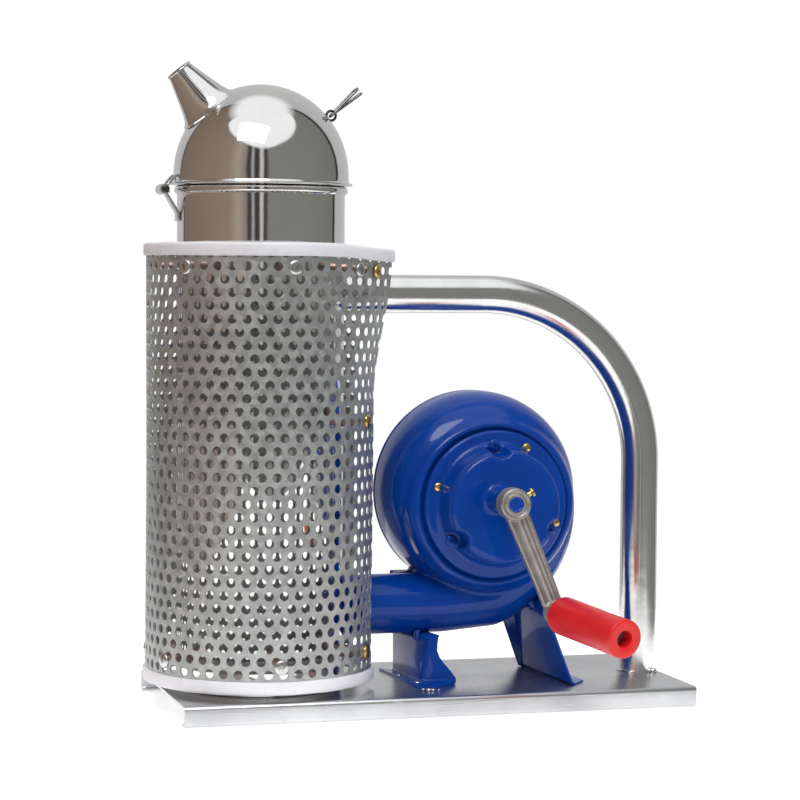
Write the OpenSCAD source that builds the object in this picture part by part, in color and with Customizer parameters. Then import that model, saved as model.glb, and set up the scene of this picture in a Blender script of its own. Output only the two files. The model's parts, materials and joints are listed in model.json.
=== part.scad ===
// Bee smoker with a hand-cranked blower on a folded base plate.
// Millimetres, +Z up, +X towards the carrying handle, -Y towards the crank.
// The origin lies on the standing surface, under the middle of the overall footprint.

/* [Base] */
// Length of the base plate
base_l = 337; // [320:1:420]
// Width of the base plate
base_w = 150; // [150:1:220]
// Height of the folded base plate
base_h = 13; // [11:0.5:20]
// Sheet thickness of the base plate
base_t = 1.5; // [1:0.1:2]
// Width of the lips turned in under the base plate
base_lip = 6; // [4:0.5:12]

/* [Fire pot] */
// Distance from the left end of the base plate to the axis of the pot
pot_inset = 63.5; // [55:0.5:80]
// Outer radius of the pot
pot_r = 53.6; // [44:0.1:65]
// Height of the pot up to its rim bead
pot_h = 321; // [265:1:390]
// Sheet thickness of the pot and the lid
pot_t = 1.2; // [1:0.1:1.6]
// Height of the fire grate above the pot floor
grate_h = 84; // [76:1:110]

/* [Lid] */
// Outer radius of the domed lid
lid_over = 2.4; // [2:0.1:4]
// Height of the straight skirt under the dome
lid_skirt = 5.7; // [5.2:0.1:12]
// Lean of the spout away from upright
spout_lean = 39; // [30:1:45]
// Outer radius of the spout where it leaves the dome
spout_base_r = 17.6; // [14:0.1:19]
// Outer radius of the spout at its mouth
spout_tip_r = 7.5; // [6:0.1:10]
// Length of the spout from the dome to its mouth
spout_l = 33; // [25:1:45]

/* [Heat guard] */
// Air space between the pot and the guard sheet
guard_gap = 18.4; // [14:0.1:25]
// Sheet thickness of the guard
guard_t = 1; // [0.8:0.1:1.5]
// Height of the guard's lower edge above the base plate
guard_lift = 6; // [5:0.5:12]
// Height of the guard sheet
guard_h = 277; // [230:1:335]

/* [Handle] */
// Outer diameter of the handle tube
tube_d = 24.6; // [20:0.1:30]
// Wall thickness of the handle tube
tube_t = 1.2; // [1:0.1:2]
// Height of the handle tube's upper run above the base plate
tube_h = 252.5; // [230:0.5:300]
// Radius of the bend in the handle tube
bend_r = 111; // [90:1:125]

/* [Blower] */
// Radius of the round part of the blower housing
scroll_r = 66; // [62:0.5:80]
// Height of the blower housing's centre above the base plate
scroll_h = 123; // [120:1:150]
// Depth of the blower housing's air chamber
chamber_d = 36; // [34:1:48]
// Wall thickness of the blower housing
cast_t = 3; // [2.5:0.1:4]
// Outer radius of the outlet pipe
outlet_r = 19.7; // [16:0.1:20]
// Height of the outlet pipe's axis above the base plate
outlet_h = 50; // [46:0.5:60]
// Radius of the fan wheel
fan_r = 50; // [40:1:52]
// Number of blades on the fan wheel
fan_blades = 8; // [6:1:12]

/* [Gears] */
// Tooth module
gear_m = 0.6; // [0.5:0.05:0.62]
// Teeth on each large gear
gear_z = 48; // [40:1:48]
// Teeth on each pinion
pinion_z = 12; // [12:1:14]
// Width of each gear
gear_w = 5; // [4:0.1:5]

/* [Crank] */
// Radius of the crank shaft
crank_shaft_r = 5; // [4:0.1:6]
// Radius of the crank hub
hub_r = 9.3; // [8.5:0.1:11]
// Distance from the crank shaft to the grip
crank_l = 73.7; // [60:0.1:85]
// Angle of the crank arm at rest, from level and to the right
crank_rest = -68.6; // [-90:0.1:0]
// Length of the grip
grip_l = 72; // [60:1:100]
// Radius of the grip
grip_r = 12; // [10:0.1:15]
// Radius of the pin on which the grip turns
grip_pin_r = 3.5; // [3:0.1:4]

/* [Hidden] */
$fn = 96;

// Clearances
run_fit = 0.05;     // a shaft that turns in its bore
fixed_fit = 0.02;   // a piece fixed on a shaft or in a hole
rest_gap = 0.3;     // between surfaces of two moving bodies that meet
cut = 1;            // how far a cutting shape runs past the surface it cuts

// Base and pot
bend_out = 2.5;
pot_x = -base_l / 2 + pot_inset;
neck_h = 4.6;
bead_h = 6;
bead_r = 1.9;
floor_t = 1.5;
bolt_r = 2;
bolt_head_r = 4;
bolt_head_h = 2.6;
nut_h = 3.2;
nut_r = 4;
pot_bolt_ring = 30;
pot_bolt_count = 3;
grate_t = 1.5;
grate_r = pot_r - pot_t - 0.6;
grate_leg_w = 8;
grate_leg_in = 6;
grate_leg_angles = [60, 180, 300];
grate_hole_r = 3.5;
grate_pitch = 12;

// Guard and its fasteners
guard_r = pot_r + guard_gap;
guard_out = guard_r + guard_t;
guard_z = base_h + guard_lift;
guard_top = guard_z + guard_h;
outlet_gap = 1.5;
guard_open = asin((outlet_r + outlet_gap) / guard_r) + 2;
trim_w = 4.4;
trim_h = 8.4;
trim_over = 1.4;
spacer_r = 4;
screw_r = 2;
screw_head_r = 4.6;
screw_head_h = 2.4;
top_screw_angles = [-142, -86, -47, 47, 94, 150];
low_screw_angles = [-157, -92, 92, 157];
edge_angle = 34;
screw_inset = 14;
edge_heights = [screw_inset + 5, guard_h * 0.6, guard_h - screw_inset];

// Handle tube
tube_r = tube_d / 2;
tube_z = base_h + tube_h;
tube_x = base_l / 2 - tube_r;

// Lid and hinge, in heights above the base plate
lid_r = pot_r + lid_over;
lid_z = base_h + pot_h + rest_gap;
dome_z = lid_z + lid_skirt;
flange_w = 2.4;
flange_t = 1.3;
spout_t = 1;
spout_in = 3;
hinge_out = 8.3;
pin_r = 2;
pin_x = pot_x - pot_r - bead_r - rest_gap - hinge_out + 0.5;
pin_z = base_h + pot_h - 3;
leaf_t = 1.6;
knuckle_r = 3.4;
knuckle_w = 5;
leaf_gap = 0.3;
lid_knuckle_w = 3.4;
pin_head_r = 3.6;
pin_head_h = 1.5;
leaf_drop = 17;
handle_lean = 49;
wire_r = 0.85;
wire_l = 22;
wire_half = [1.8, 3.6];
wire_spread = 9;
wire_step = 0.9;
eye_r = 3.6;
eye_wire_r = 0.85;
eye_shank_r = 1.3;
eye_d = lid_r + eye_r + eye_wire_r;

// Blower: the scroll's centre, the fan axis and the crank axis seen from the front
scroll_x = pot_x + guard_out + 8 + scroll_r;
scroll_z = base_h + scroll_h;
outlet_z = base_h + outlet_h;
scroll_c = [scroll_x, scroll_z];
fan_c = scroll_c + [1.5, -6];
crank_c = fan_c + [-6, 5.3];
scroll_grow = scroll_z - (outlet_z - outlet_r) - scroll_r;
spiral_step = 7.5;
spiral_bend = 1.3;
duct_x = scroll_x - scroll_r * 0.82;
outlet_end = pot_x + sqrt(pow(pot_r, 2) - pow(outlet_r, 2)) - 5;
wall_front = -chamber_d / 2;
wall_back = chamber_d / 2;
front_y = wall_front - cast_t;
back_t = 3;
shoulder_h = 10;
shoulder_r = 10;
seat_y = -33;
seat_r = 50.5;
gearbox_r = 42;
gearbox_y = -24;
intake_r = 24;
bar_w = 4;
back_screw_r = 1.6;
back_screw_head = 3.2;
back_screw_angles = [20, 75, 130, 185, 325];
back_screw_ring = scroll_r - 5;
back_post_r = 4;

// Gear cover, with depths counted forward from the middle of the blower
cover_r = 48.2;
rim_front = 36;
plateau_h = 58;
plateau_r = 39.5;
cover_t = 2.5;
notch_ring = 39;
notch_r = 7.5;
notch_floor = 45;
notch_angles = [95, 215, 335];
post_r = 5;
rim_screw_ring = 45.4;
rim_screw_r = 1.5;
rim_screw_head = 2.6;
rim_screw_angles = [163, 65, -17];
boss_r = 7.35;
boss_h = 82;

// Gears: pressure angle and stub teeth, which twelve-tooth pinions need
pressure = 25;
addendum = 0.8;
dedendum = 1;
backlash = 0.06;
gear_pitch = gear_m * gear_z / 2;
pinion_pitch = gear_m * pinion_z / 2;
gear_centres = gear_pitch + pinion_pitch;
gear_front = 54.5;
gear_rear = 45;
between = fan_c - crank_c;
lay_half = norm(between) / 2;
lay_rise = sqrt(pow(gear_centres, 2) - pow(lay_half, 2));
lay_side = [-between[1], between[0]] / norm(between);
lay_c = crank_c + between / 2 + lay_side * lay_rise;
crank_to_lay = atan2(lay_c[1] - crank_c[1], lay_c[0] - crank_c[0]);
lay_to_fan = atan2(fan_c[1] - lay_c[1], fan_c[0] - lay_c[0]);
stud_r = 2;
sleeve_r = 2.9;
lay_boss_r = 5;
fan_boss_r = 9;
fan_boss_front = 37.5;
lay_boss_front = 38.5;
lay_sleeve_end = 39;
bush_r = 6;
bush_l = 8;
bush_front = 37;
fan_shaft_r = 4;
fan_nose_r = 2;
fan_step = 38;
fan_end_r = 3;
fan_end_l = 5.5;
disc_t = 1.5;
blade_t = 1.6;
blade_in = 12;
blade_h = 19;
fan_hub_r = 9;
fan_y = -9;
fan_hub_l = 17;

// Crank arm and grip
hub_back = boss_h + 0.5;
hub_w = 12;
arm_t = 6;
arm_w_hub = 15;
arm_w_end = 12;
arm_tilt = 6;
grip_out = 101;
grip_splay = 13.3;
grip_drop = 5.2;
arm_boss_r = 7;
arm_boss_l = 10;
grip_gap = 0.6;
counterbore_r = 5.1;
counterbore_l = 12;
set_screw_r = 1.5;
set_screw_angle = 30;
grip_c = crank_c + crank_l * [cos(crank_rest), sin(crank_rest)];

// Legs
leg_t = 1.5;
leg_top_y = [-30, 18];
leg_foot_y = [-56, 26];
leg_left_top = duct_x + 2;
leg_left_foot = leg_left_top - 2;
leg_facet = 8;
leg_lean = 6;
leg_front_w = 20;
leg_front_top_w = 8;
leg_tab_l = 14;
leg_bolt_y = [-12, 8];
leg_bolt_in = 8;
bolt_share = 0.62;
foot_w = 13;
rivet_r = 2;
rivet_y = [-40, 12];

// Middle of the footprint, which is the origin
left_end = pot_x - guard_r - guard_t / 2 - trim_w / 2;
right_end = base_l / 2;
grip_reach = grip_out + grip_l * cos(grip_splay) * cos(grip_drop) + grip_r * 0.24;
front_end = -grip_reach;
back_end = max(base_w / 2, guard_r + trim_w / 2);
origin_x = (left_end + right_end) / 2;
origin_y = (front_end + back_end) / 2;

// Places children given in the base plate's own coordinates
module placed() {
    translate([-origin_x, -origin_y, 0]) children();
}

// Puts children on the axis of the pot, at the top of the base plate
module at_pot() {
    placed() translate([pot_x, 0, base_h]) children();
}

// Extrudes a shape drawn as seen from the front, from depth y0 back to y1
module along_y(y0, y1) {
    translate([0, y1, 0]) rotate([90, 0, 0]) linear_extrude(y1 - y0) children();
}

// A round bar along Y whose axis passes through c, from y0 back to y1
module bar_y(c, r, y0, y1) {
    along_y(y0, y1) translate(c) circle(r);
}

// Turns a profile about an axis along Y through c; its height runs forward
module turned_y(c) {
    translate([c[0], 0, c[1]]) rotate([90, 0, 0]) rotate_extrude() children();
}

// Corners of a straight strip of width t between two points
function strip(p, q, t) =
    let (d = (q - p) / norm(q - p), n = [-d[1], d[0]] * t / 2)
    [p + n, q + n, q - n, p - n];

// Point on a ring about c
function on_ring(c, r, a) = c + r * [cos(a), sin(a)];

// A pan head screw along +Z whose head rests on z = 0 and points up
module pan_screw(r, head_r, head_h, l) {
    rotate_extrude() {
        translate([0, -l]) square([r, l + head_h / 2]);
        intersection() {
            translate([0, -head_r + head_h]) circle(head_r);
            square([head_r, head_h]);
        }
        square([head_r * 0.86, head_h * 0.45]);
    }
}

// ---- Base plate ----

module round_topped(w, h, r) {
    translate([-w / 2, 0]) square([w, h - r]);
    translate([-w / 2 + r, 0]) square([w - 2 * r, h]);
    for (side = [-1, 1]) translate([side * (w / 2 - r), h - r]) circle(r);
}

module base_plate() {
    color("silver") placed() difference() {
        rotate([90, 0, 90]) linear_extrude(base_l, center = true) difference() {
            round_topped(base_w, base_h, bend_out);
            translate([0, base_t])
                round_topped(base_w - 2 * base_t, base_h - 2 * base_t, bend_out - base_t);
            translate([-base_w / 2 + base_lip, -cut])
                square([base_w - 2 * base_lip, base_t + 2 * cut]);
        }
        translate([pot_x, 0, base_h / 2]) at_pot_bolts() cylinder(h = base_h, r = bolt_r + fixed_fit);
        foot_holes();
    }
}

// Repeats children at the bolts that hold the pot down, about the pot's axis
module at_pot_bolts() {
    for (i = [0 : pot_bolt_count - 1]) rotate(90 + i * 360 / pot_bolt_count)
        translate([pot_bolt_ring, 0, 0]) children();
}

module foot_holes() {
    for (x = [foot_x_left(), foot_x_right()], y = rivet_y)
        translate([x, y, base_h / 2]) cylinder(h = base_h, r = rivet_r + fixed_fit);
}

// ---- Handle tube ----

module tube_path(r) {
    start_x = pot_x + pot_r - bead_r;
    bend_x = tube_x - bend_r;
    translate([start_x, 0, tube_z]) rotate([0, 90, 0]) cylinder(h = bend_x - start_x, r = r);
    translate([bend_x, 0, tube_z - bend_r]) rotate([90, 0, 0])
        rotate_extrude(angle = 90) translate([bend_r, 0]) circle(r);
    translate([tube_x, 0, base_h]) cylinder(h = tube_z - bend_r - base_h, r = r);
}

module handle_tube() {
    color("lightsteelblue") placed() difference() {
        tube_path(tube_r);
        tube_path(tube_r - tube_t);
        translate([pot_x, 0, 0]) cylinder(h = 2 * tube_z, r = pot_r);
    }
}

// ---- Fire pot and grate ----

module fire_pot() {
    inner = pot_r - pot_t;
    color("gainsboro") at_pot() difference() {
        rotate_extrude() {
            square([pot_r, floor_t]);
            translate([inner, 0]) square([pot_t, pot_h + neck_h]);
            intersection() {
                translate([pot_r - cut, pot_h - bead_h / 2]) circle(bead_h / 2);
                translate([inner, pot_h - bead_h]) square([pot_t + bead_r, bead_h]);
            }
        }
        translate([inner / 2, 0, outlet_h]) rotate([0, 90, 0]) cylinder(h = pot_r, r = outlet_r + run_fit);
        at_pot_bolts() translate([0, 0, -cut]) cylinder(h = floor_t + 2 * cut, r = bolt_r + fixed_fit);
    }
}

module fire_grate() {
    color("dimgray") at_pot() difference() {
        translate([0, 0, grate_h]) cylinder(h = grate_t, r = grate_r);
        for (ring = [0 : grate_pitch : grate_r - grate_hole_r - grate_pitch / 2]) {
            count = max(1, round(2 * PI * ring / grate_pitch));
            for (i = [0 : count - 1]) rotate(i * 360 / count)
                translate([ring, 0, grate_h - cut]) cylinder(h = grate_t + 2 * cut, r = grate_hole_r);
        }
    }
}

module grate_legs() {
    color("dimgray") at_pot() for (a = grate_leg_angles) rotate(a)
        translate([grate_r - grate_leg_in, -grate_leg_w / 2, floor_t])
            cube([grate_t, grate_leg_w, grate_h - floor_t]);
}

module pot_bolts() {
    color("silver") at_pot() at_pot_bolts() translate([0, 0, floor_t])
        pan_screw(bolt_r, bolt_head_r, bolt_head_h, floor_t + base_t + nut_h + 1);
}

module pot_nuts() {
    color("silver") at_pot() at_pot_bolts()
        translate([0, 0, -base_t - nut_h]) difference() {
            cylinder(h = nut_h, r = nut_r, $fn = 6);
            translate([0, 0, -cut]) cylinder(h = nut_h + 2 * cut, r = bolt_r + fixed_fit);
        }
}

// ---- Heat guard ----

// Stands children on the guard's cylinder at an angle and a height, pointing outwards
module on_guard(a, z, r) {
    placed() translate([pot_x, 0, guard_z + z]) rotate(a) translate([r, 0, 0]) rotate([0, 90, 0]) children();
}

// Repeats children at every screw of the guard sheet
module at_guard_screws(r) {
    for (a = top_screw_angles) on_guard(a, guard_h - screw_inset, r) children();
    for (a = low_screw_angles) on_guard(a, screw_inset + 2, r) children();
}

module at_edge_screws(r) {
    for (a = [-edge_angle, edge_angle], z = edge_heights) on_guard(a, z, r) children();
}

module guard_ring() {
    placed() translate([pot_x, 0, 0]) rotate(guard_open)
        rotate_extrude(angle = 360 - 2 * guard_open) children();
}

module heat_guard() {
    color("darkgray") difference() {
        guard_ring() translate([guard_r, guard_z]) square([guard_t, guard_h]);
        at_guard_screws(guard_r - cut) cylinder(h = guard_t + 2 * cut, r = screw_r + fixed_fit);
        at_edge_screws(guard_r - cut) cylinder(h = guard_t + 2 * cut, r = screw_r + fixed_fit);
    }
}

// U-shaped edging with a rounded back, drawn with its mouth downwards
module trim_profile() {
    difference() {
        union() {
            translate([-trim_w / 2, -trim_h + trim_over]) square([trim_w, trim_h - trim_w / 2]);
            translate([0, trim_over - trim_w / 2]) circle(trim_w / 2);
        }
        translate([-guard_t / 2, -trim_h]) square([guard_t, trim_h]);
    }
}

module guard_top_trim() {
    color("white") guard_ring() translate([guard_r + guard_t / 2, guard_top]) trim_profile();
}

module guard_bottom_trim() {
    color("white") guard_ring() translate([guard_r + guard_t / 2, guard_z]) mirror([0, 1]) trim_profile();
}

module guard_spacers() {
    color("rosybrown") difference() {
        union() {
            at_guard_screws(pot_r - cut) cylinder(h = guard_gap + cut, r = spacer_r);
            at_edge_screws(pot_r - cut) cylinder(h = guard_gap + cut, r = spacer_r);
        }
        at_pot() cylinder(h = pot_h, r = pot_r);
        at_guard_screws(pot_r - cut) cylinder(h = 2 * guard_gap, r = screw_r + fixed_fit);
        at_edge_screws(pot_r - cut) cylinder(h = 2 * guard_gap, r = screw_r + fixed_fit);
        guard_ring() translate([guard_r, 0]) square([guard_gap, guard_top]);
    }
}

module guard_screws() {
    color("silver") at_guard_screws(guard_out)
        pan_screw(screw_r, screw_head_r, screw_head_h, guard_gap * 0.7);
}

module edge_screws() {
    color("goldenrod") at_edge_screws(guard_out)
        pan_screw(screw_r, screw_head_r, screw_head_h, guard_gap * 0.7);
}

// ---- Hinge ----

module pot_hinge_leaf() {
    wall = [pot_x - pot_r + cut, pin_z - leaf_drop];
    color("silver") placed() difference() {
        union() {
            along_y(-knuckle_w, knuckle_w) polygon(strip(wall, [pin_x, pin_z], leaf_t));
            bar_y([pin_x, pin_z], knuckle_r, -knuckle_w, knuckle_w);
        }
        bar_y([pin_x, pin_z], pin_r + fixed_fit, -2 * knuckle_w, 2 * knuckle_w);
        translate([pot_x, 0, 0]) cylinder(h = 2 * pin_z, r = pot_r);
    }
}

module lid_hinge_leaf() {
    wall = [pot_x - lid_r + cut, dome_z + 1];
    color("silver") placed() difference() {
        for (side = [-1, 1]) {
            y0 = knuckle_w + leaf_gap;
            y1 = y0 + lid_knuckle_w;
            near = side < 0 ? -y1 : y0;
            far = side < 0 ? -y0 : y1;
            along_y(near, far) polygon(strip(wall, [pin_x, pin_z], leaf_t));
            bar_y([pin_x, pin_z], knuckle_r, near, far);
        }
        bar_y([pin_x, pin_z], pin_r + run_fit, -4 * knuckle_w, 4 * knuckle_w);
        translate([pot_x, 0, dome_z - lid_skirt]) cylinder(h = lid_skirt + cut, r = lid_r);
        translate([pot_x, 0, dome_z]) sphere(lid_r);
        translate([pot_x, 0, lid_z]) cylinder(h = flange_t, r = lid_r + flange_w);
    }
}

module hinge_pin() {
    half = knuckle_w + leaf_gap + lid_knuckle_w + leaf_gap;
    color("dimgray") placed() {
        bar_y([pin_x, pin_z], pin_r, -half - pin_head_h, half + pin_head_h);
        bar_y([pin_x, pin_z], pin_head_r, -half - pin_head_h, -half);
        bar_y([pin_x, pin_z], pin_head_r, half, half + pin_head_h);
    }
}

// ---- Lid ----

// Puts children at the dome's centre, with +Z leaning from upright towards the handle
module on_dome(lean) {
    placed() translate([pot_x, 0, dome_z]) rotate([0, lean, 0]) children();
}

module lid_dome() {
    inner = lid_r - pot_t;
    color("gainsboro") difference() {
        placed() translate([pot_x, 0, dome_z]) rotate_extrude() {
            difference() {
                intersection() {
                    circle(lid_r);
                    square(lid_r);
                }
                circle(inner);
            }
            translate([inner, -lid_skirt]) square([pot_t, lid_skirt]);
            translate([inner, -lid_skirt]) square([pot_t + flange_w, flange_t]);
        }
        on_dome(-spout_lean) cylinder(h = 2 * lid_r, r = spout_base_r - spout_in);
        on_dome(handle_lean) cylinder(h = 2 * lid_r, r = eye_shank_r + fixed_fit);
    }
}

module spout() {
    foot = sqrt(pow(lid_r, 2) - pow(spout_base_r, 2)) - spout_t;
    mouth = lid_r + spout_l - 2.5;
    color("gainsboro") difference() {
        on_dome(-spout_lean) rotate_extrude() {
            polygon([
                [spout_base_r, foot], [spout_tip_r, mouth],
                [spout_tip_r - spout_t, mouth], [spout_base_r - spout_t, foot]
            ]);
            translate([spout_tip_r - spout_t / 2, mouth]) circle(spout_t * 0.7, $fn = 24);
        }
        placed() translate([pot_x, 0, dome_z]) sphere(lid_r);
    }
}

// One long closed wire link along +Z, its bottom bend centred on the origin
module wire_link(half) {
    for (side = [-1, 1]) translate([0, side * half, half]) cylinder(h = wire_l - half, r = wire_r);
    translate([0, 0, wire_l]) rotate([90, 0, 90])
        rotate_extrude(angle = 180) translate([half, 0]) circle(wire_r);
    translate([0, 0, half]) rotate([-90, 0, 90])
        rotate_extrude(angle = 180) translate([half, 0]) circle(wire_r);
}

// Two wire links, one inside the other, hooked through the eye and fanned apart
module lift_handle() {
    color("silver") on_dome(handle_lean) {
        translate([0, 0, eye_d - wire_step]) rotate([0, -wire_spread / 2, 0]) wire_link(wire_half[1]);
        translate([0, 0, eye_d + wire_step]) rotate([0, wire_spread / 2, 0]) wire_link(wire_half[0]);
    }
}

// Eye bolt through the dome
module handle_eye() {
    color("dimgray") on_dome(handle_lean) {
        translate([0, 0, eye_d]) rotate([90, 0, 0]) rotate_extrude() translate([eye_r, 0]) circle(eye_wire_r);
        translate([0, 0, lid_r - 4]) cylinder(h = eye_d - eye_r - lid_r + 4, r = eye_shank_r);
    }
}

// ---- Blower housing ----

// Point of the spiral, a degrees below level on the right, moved in by the wall
function spiral_r(a, wall) = scroll_r + scroll_grow * pow(a / 90, spiral_bend) - wall;
function spiral_point(a, wall) = scroll_c + spiral_r(a, wall) * [cos(a), -sin(a)];

// Outline of the housing seen from the front, moved in by the wall
module scroll_outline(wall) {
    low = outlet_z - outlet_r + wall;
    high = outlet_z + outlet_r - wall;
    translate(scroll_c) circle(scroll_r - wall);
    polygon(concat(
        [scroll_c],
        [for (a = [0 : spiral_step : 90]) spiral_point(a, wall)],
        [[duct_x + wall, low], [duct_x + wall, high], [scroll_x - scroll_r / 2, high]]
    ));
}

// Rounded front shoulder of the housing, as a ring profile
module shoulder_profile() {
    bend_from = scroll_r - shoulder_r;
    polygon(concat(
        [[seat_r - 8, -front_y - cut], [scroll_r, -front_y - cut]],
        [for (a = [0 : 15 : 90]) [bend_from + shoulder_r * cos(a), -front_y + shoulder_h * sin(a)]],
        [[seat_r - 8, -front_y + shoulder_h]]
    ));
}

module housing_body() {
    along_y(front_y, wall_back) scroll_outline(0);
    turned_y(scroll_c) shoulder_profile();
    bar_y(fan_c, seat_r, seat_y, front_y);
}

module housing_hollow() {
    along_y(wall_front, wall_back + cut) scroll_outline(cast_t);
    bar_y(fan_c, gearbox_r, seat_y - 2 * cut, gearbox_y);
    translate([duct_x - cut, 0, outlet_z]) rotate([0, 90, 0])
        cylinder(h = cast_t + 2 * cut, r = outlet_r - cast_t);
}

module housing_posts() {
    bar_y(fan_c, fan_boss_r, -fan_boss_front, fan_y - 1);
    bar_y(lay_c, lay_boss_r, -lay_boss_front, wall_front - cut);
    for (a = notch_angles) bar_y(on_ring(fan_c, notch_ring, a), post_r, seat_y, gearbox_y + cut);
    for (a = back_screw_angles) bar_y(on_ring(scroll_c, back_screw_ring, a), back_post_r, front_y + cut, wall_back);
}

module blower_housing() {
    color("royalblue") placed() difference() {
        union() {
            difference() {
                housing_body();
                housing_hollow();
            }
            housing_posts();
        }
        bar_y(fan_c, bush_r + fixed_fit, -plateau_h, 0);
        bar_y(lay_c, stud_r + fixed_fit, -plateau_h, wall_front + cut);
        for (a = notch_angles)
            bar_y(on_ring(fan_c, notch_ring, a), bolt_r + fixed_fit, seat_y - cut, gearbox_y + 4);
        for (a = rim_screw_angles)
            bar_y(on_ring(fan_c, rim_screw_ring, a), rim_screw_r + fixed_fit, seat_y - cut, seat_y + 9);
        for (a = back_screw_angles)
            bar_y(on_ring(scroll_c, back_screw_ring, a), back_screw_r + fixed_fit, 0, wall_back + cut);
        leg_bolt_holes();
    }
}

module outlet_pipe() {
    color("royalblue") placed() translate([outlet_end, 0, outlet_z]) rotate([0, 90, 0]) difference() {
        cylinder(h = duct_x - outlet_end, r = outlet_r);
        translate([0, 0, -cut]) cylinder(h = duct_x - outlet_end + 2 * cut, r = outlet_r - cast_t);
    }
}

module blower_back_cover() {
    color("mediumblue") placed() difference() {
        union() {
            difference() {
                along_y(wall_back, wall_back + back_t) scroll_outline(0);
                bar_y(fan_c, intake_r, wall_back - cut, wall_back + back_t + cut);
            }
            along_y(wall_back, wall_back + back_t) translate(fan_c) {
                square([2 * intake_r + 2, bar_w], center = true);
                square([bar_w, 2 * intake_r + 2], center = true);
            }
            bar_y(fan_c, 7, wall_back, wall_back + back_t);
        }
        for (a = back_screw_angles)
            bar_y(on_ring(scroll_c, back_screw_ring, a), back_screw_r + fixed_fit, 0, wall_back + back_t + cut);
    }
}

module back_cover_screws() {
    color("silver") placed() for (a = back_screw_angles) {
        c = on_ring(scroll_c, back_screw_ring, a);
        translate([c[0], wall_back + back_t, c[1]]) rotate([-90, 0, 0])
            pan_screw(back_screw_r, back_screw_head, 2, 12);
    }
}

// ---- Gear cover ----

module cover_profile() {
    polygon([
        [gearbox_r - 1, -seat_y], [cover_r, -seat_y], [cover_r, rim_front], [cover_r - 3.2, rim_front + 1.6],
        [plateau_r + 3.5, rim_front + 3], [plateau_r + 1, plateau_h - 4], [plateau_r, plateau_h - 1.5],
        [plateau_r - 1.5, plateau_h], [0, plateau_h], [0, plateau_h - cover_t],
        [plateau_r - 3, plateau_h - cover_t], [plateau_r - 1.8, plateau_h - 4], [gearbox_r - 1, rim_front + 3]
    ]);
}

module cover_envelope() {
    polygon([
        [0, -seat_y], [gearbox_r, -seat_y], [plateau_r + 3.5, rim_front + 3],
        [plateau_r + 1, plateau_h - 4], [plateau_r - 1.5, plateau_h], [0, plateau_h]
    ]);
}

module gear_cover() {
    color("royalblue") placed() difference() {
        union() {
            turned_y(fan_c) cover_profile();
            intersection() {
                turned_y(fan_c) cover_envelope();
                for (a = notch_angles) {
                    c = on_ring(fan_c, notch_ring, a);
                    bar_y(c, notch_r + cover_t - 0.5, -plateau_h, -notch_floor + cover_t);
                    bar_y(c, post_r, -notch_floor, seat_y);
                }
            }
            bar_y(crank_c, boss_r, -boss_h, -plateau_h + cut);
        }
        for (a = notch_angles) {
            c = on_ring(fan_c, notch_ring, a);
            bar_y(c, notch_r, -plateau_h - cut, -notch_floor);
            bar_y(c, bolt_r + fixed_fit, -plateau_h, 0);
        }
        for (a = rim_screw_angles)
            bar_y(on_ring(fan_c, rim_screw_ring, a), rim_screw_r + fixed_fit, -rim_front - 6, 0);
        for (a = rim_screw_angles)
            bar_y(on_ring(fan_c, rim_screw_ring, a), rim_screw_head + 0.2, -rim_front - 6, -rim_front);
        bar_y(crank_c, crank_shaft_r + run_fit, -boss_h - cut, -plateau_h / 2);
    }
}

module cover_bolts() {
    color("silver") placed() for (a = notch_angles) {
        c = on_ring(fan_c, notch_ring, a);
        translate([c[0], -notch_floor, c[1]]) rotate([90, 0, 0])
            pan_screw(bolt_r, bolt_head_r, bolt_head_h, notch_floor + gearbox_y - 1);
    }
}

module rim_screws() {
    color("goldenrod") placed() for (a = rim_screw_angles) {
        c = on_ring(fan_c, rim_screw_ring, a);
        translate([c[0], -rim_front, c[1]]) rotate([90, 0, 0])
            pan_screw(rim_screw_r, rim_screw_head, 2, 10);
    }
}

// ---- Gears ----

function involute(a) = tan(a) - a * PI / 180;

// Half the angle that a tooth fills at radius r
function tooth_half(r, z) =
    let (
        rp = gear_m * z / 2,
        rb = rp * cos(pressure),
        at_r = acos(min(1, rb / max(r, rb))),
        at_pitch = 90 / z - backlash / (2 * rp) * 180 / PI
    )
    at_pitch + (involute(pressure) - involute(at_r)) * 180 / PI;

// Outline of a gear with a tooth centred on angle 0
module gear_outline(z) {
    rp = gear_m * z / 2;
    root = rp - dedendum * gear_m;
    tip = rp + addendum * gear_m;
    levels = [root, max(root + 0.01, rp * cos(pressure)), rp, tip];
    polygon([
        for (i = [0 : z - 1]) each concat(
            [for (r = levels) on_ring([0, 0], r, i * 360 / z - tooth_half(r, z))],
            [for (k = [3 : -1 : 0]) on_ring([0, 0], levels[k], i * 360 / z + tooth_half(levels[k], z))]
        )
    ]);
}

// A gear about c, its first tooth turned to an angle, between two depths
module gear_y(c, z, turn, y0, y1, bore) {
    along_y(y0, y1) translate(c) difference() {
        rotate(turn) gear_outline(z);
        circle(bore);
    }
}

module crank_gear() {
    color("dimgray") placed()
        gear_y(crank_c, gear_z, crank_to_lay, -gear_front, -gear_front + gear_w, crank_shaft_r + fixed_fit);
}

module lay_pinion() {
    color("goldenrod") placed() {
        gear_y(lay_c, pinion_z, crank_to_lay + 180 + 180 / pinion_z, -gear_front, -gear_front + gear_w,
            stud_r + run_fit);
        along_y(-gear_front + gear_w, -lay_sleeve_end) translate(lay_c) difference() {
            circle(sleeve_r);
            circle(stud_r + run_fit);
        }
    }
}

module lay_gear() {
    color("dimgray") placed()
        gear_y(lay_c, gear_z, lay_to_fan, -gear_rear, -gear_rear + gear_w, sleeve_r + fixed_fit);
}

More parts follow.
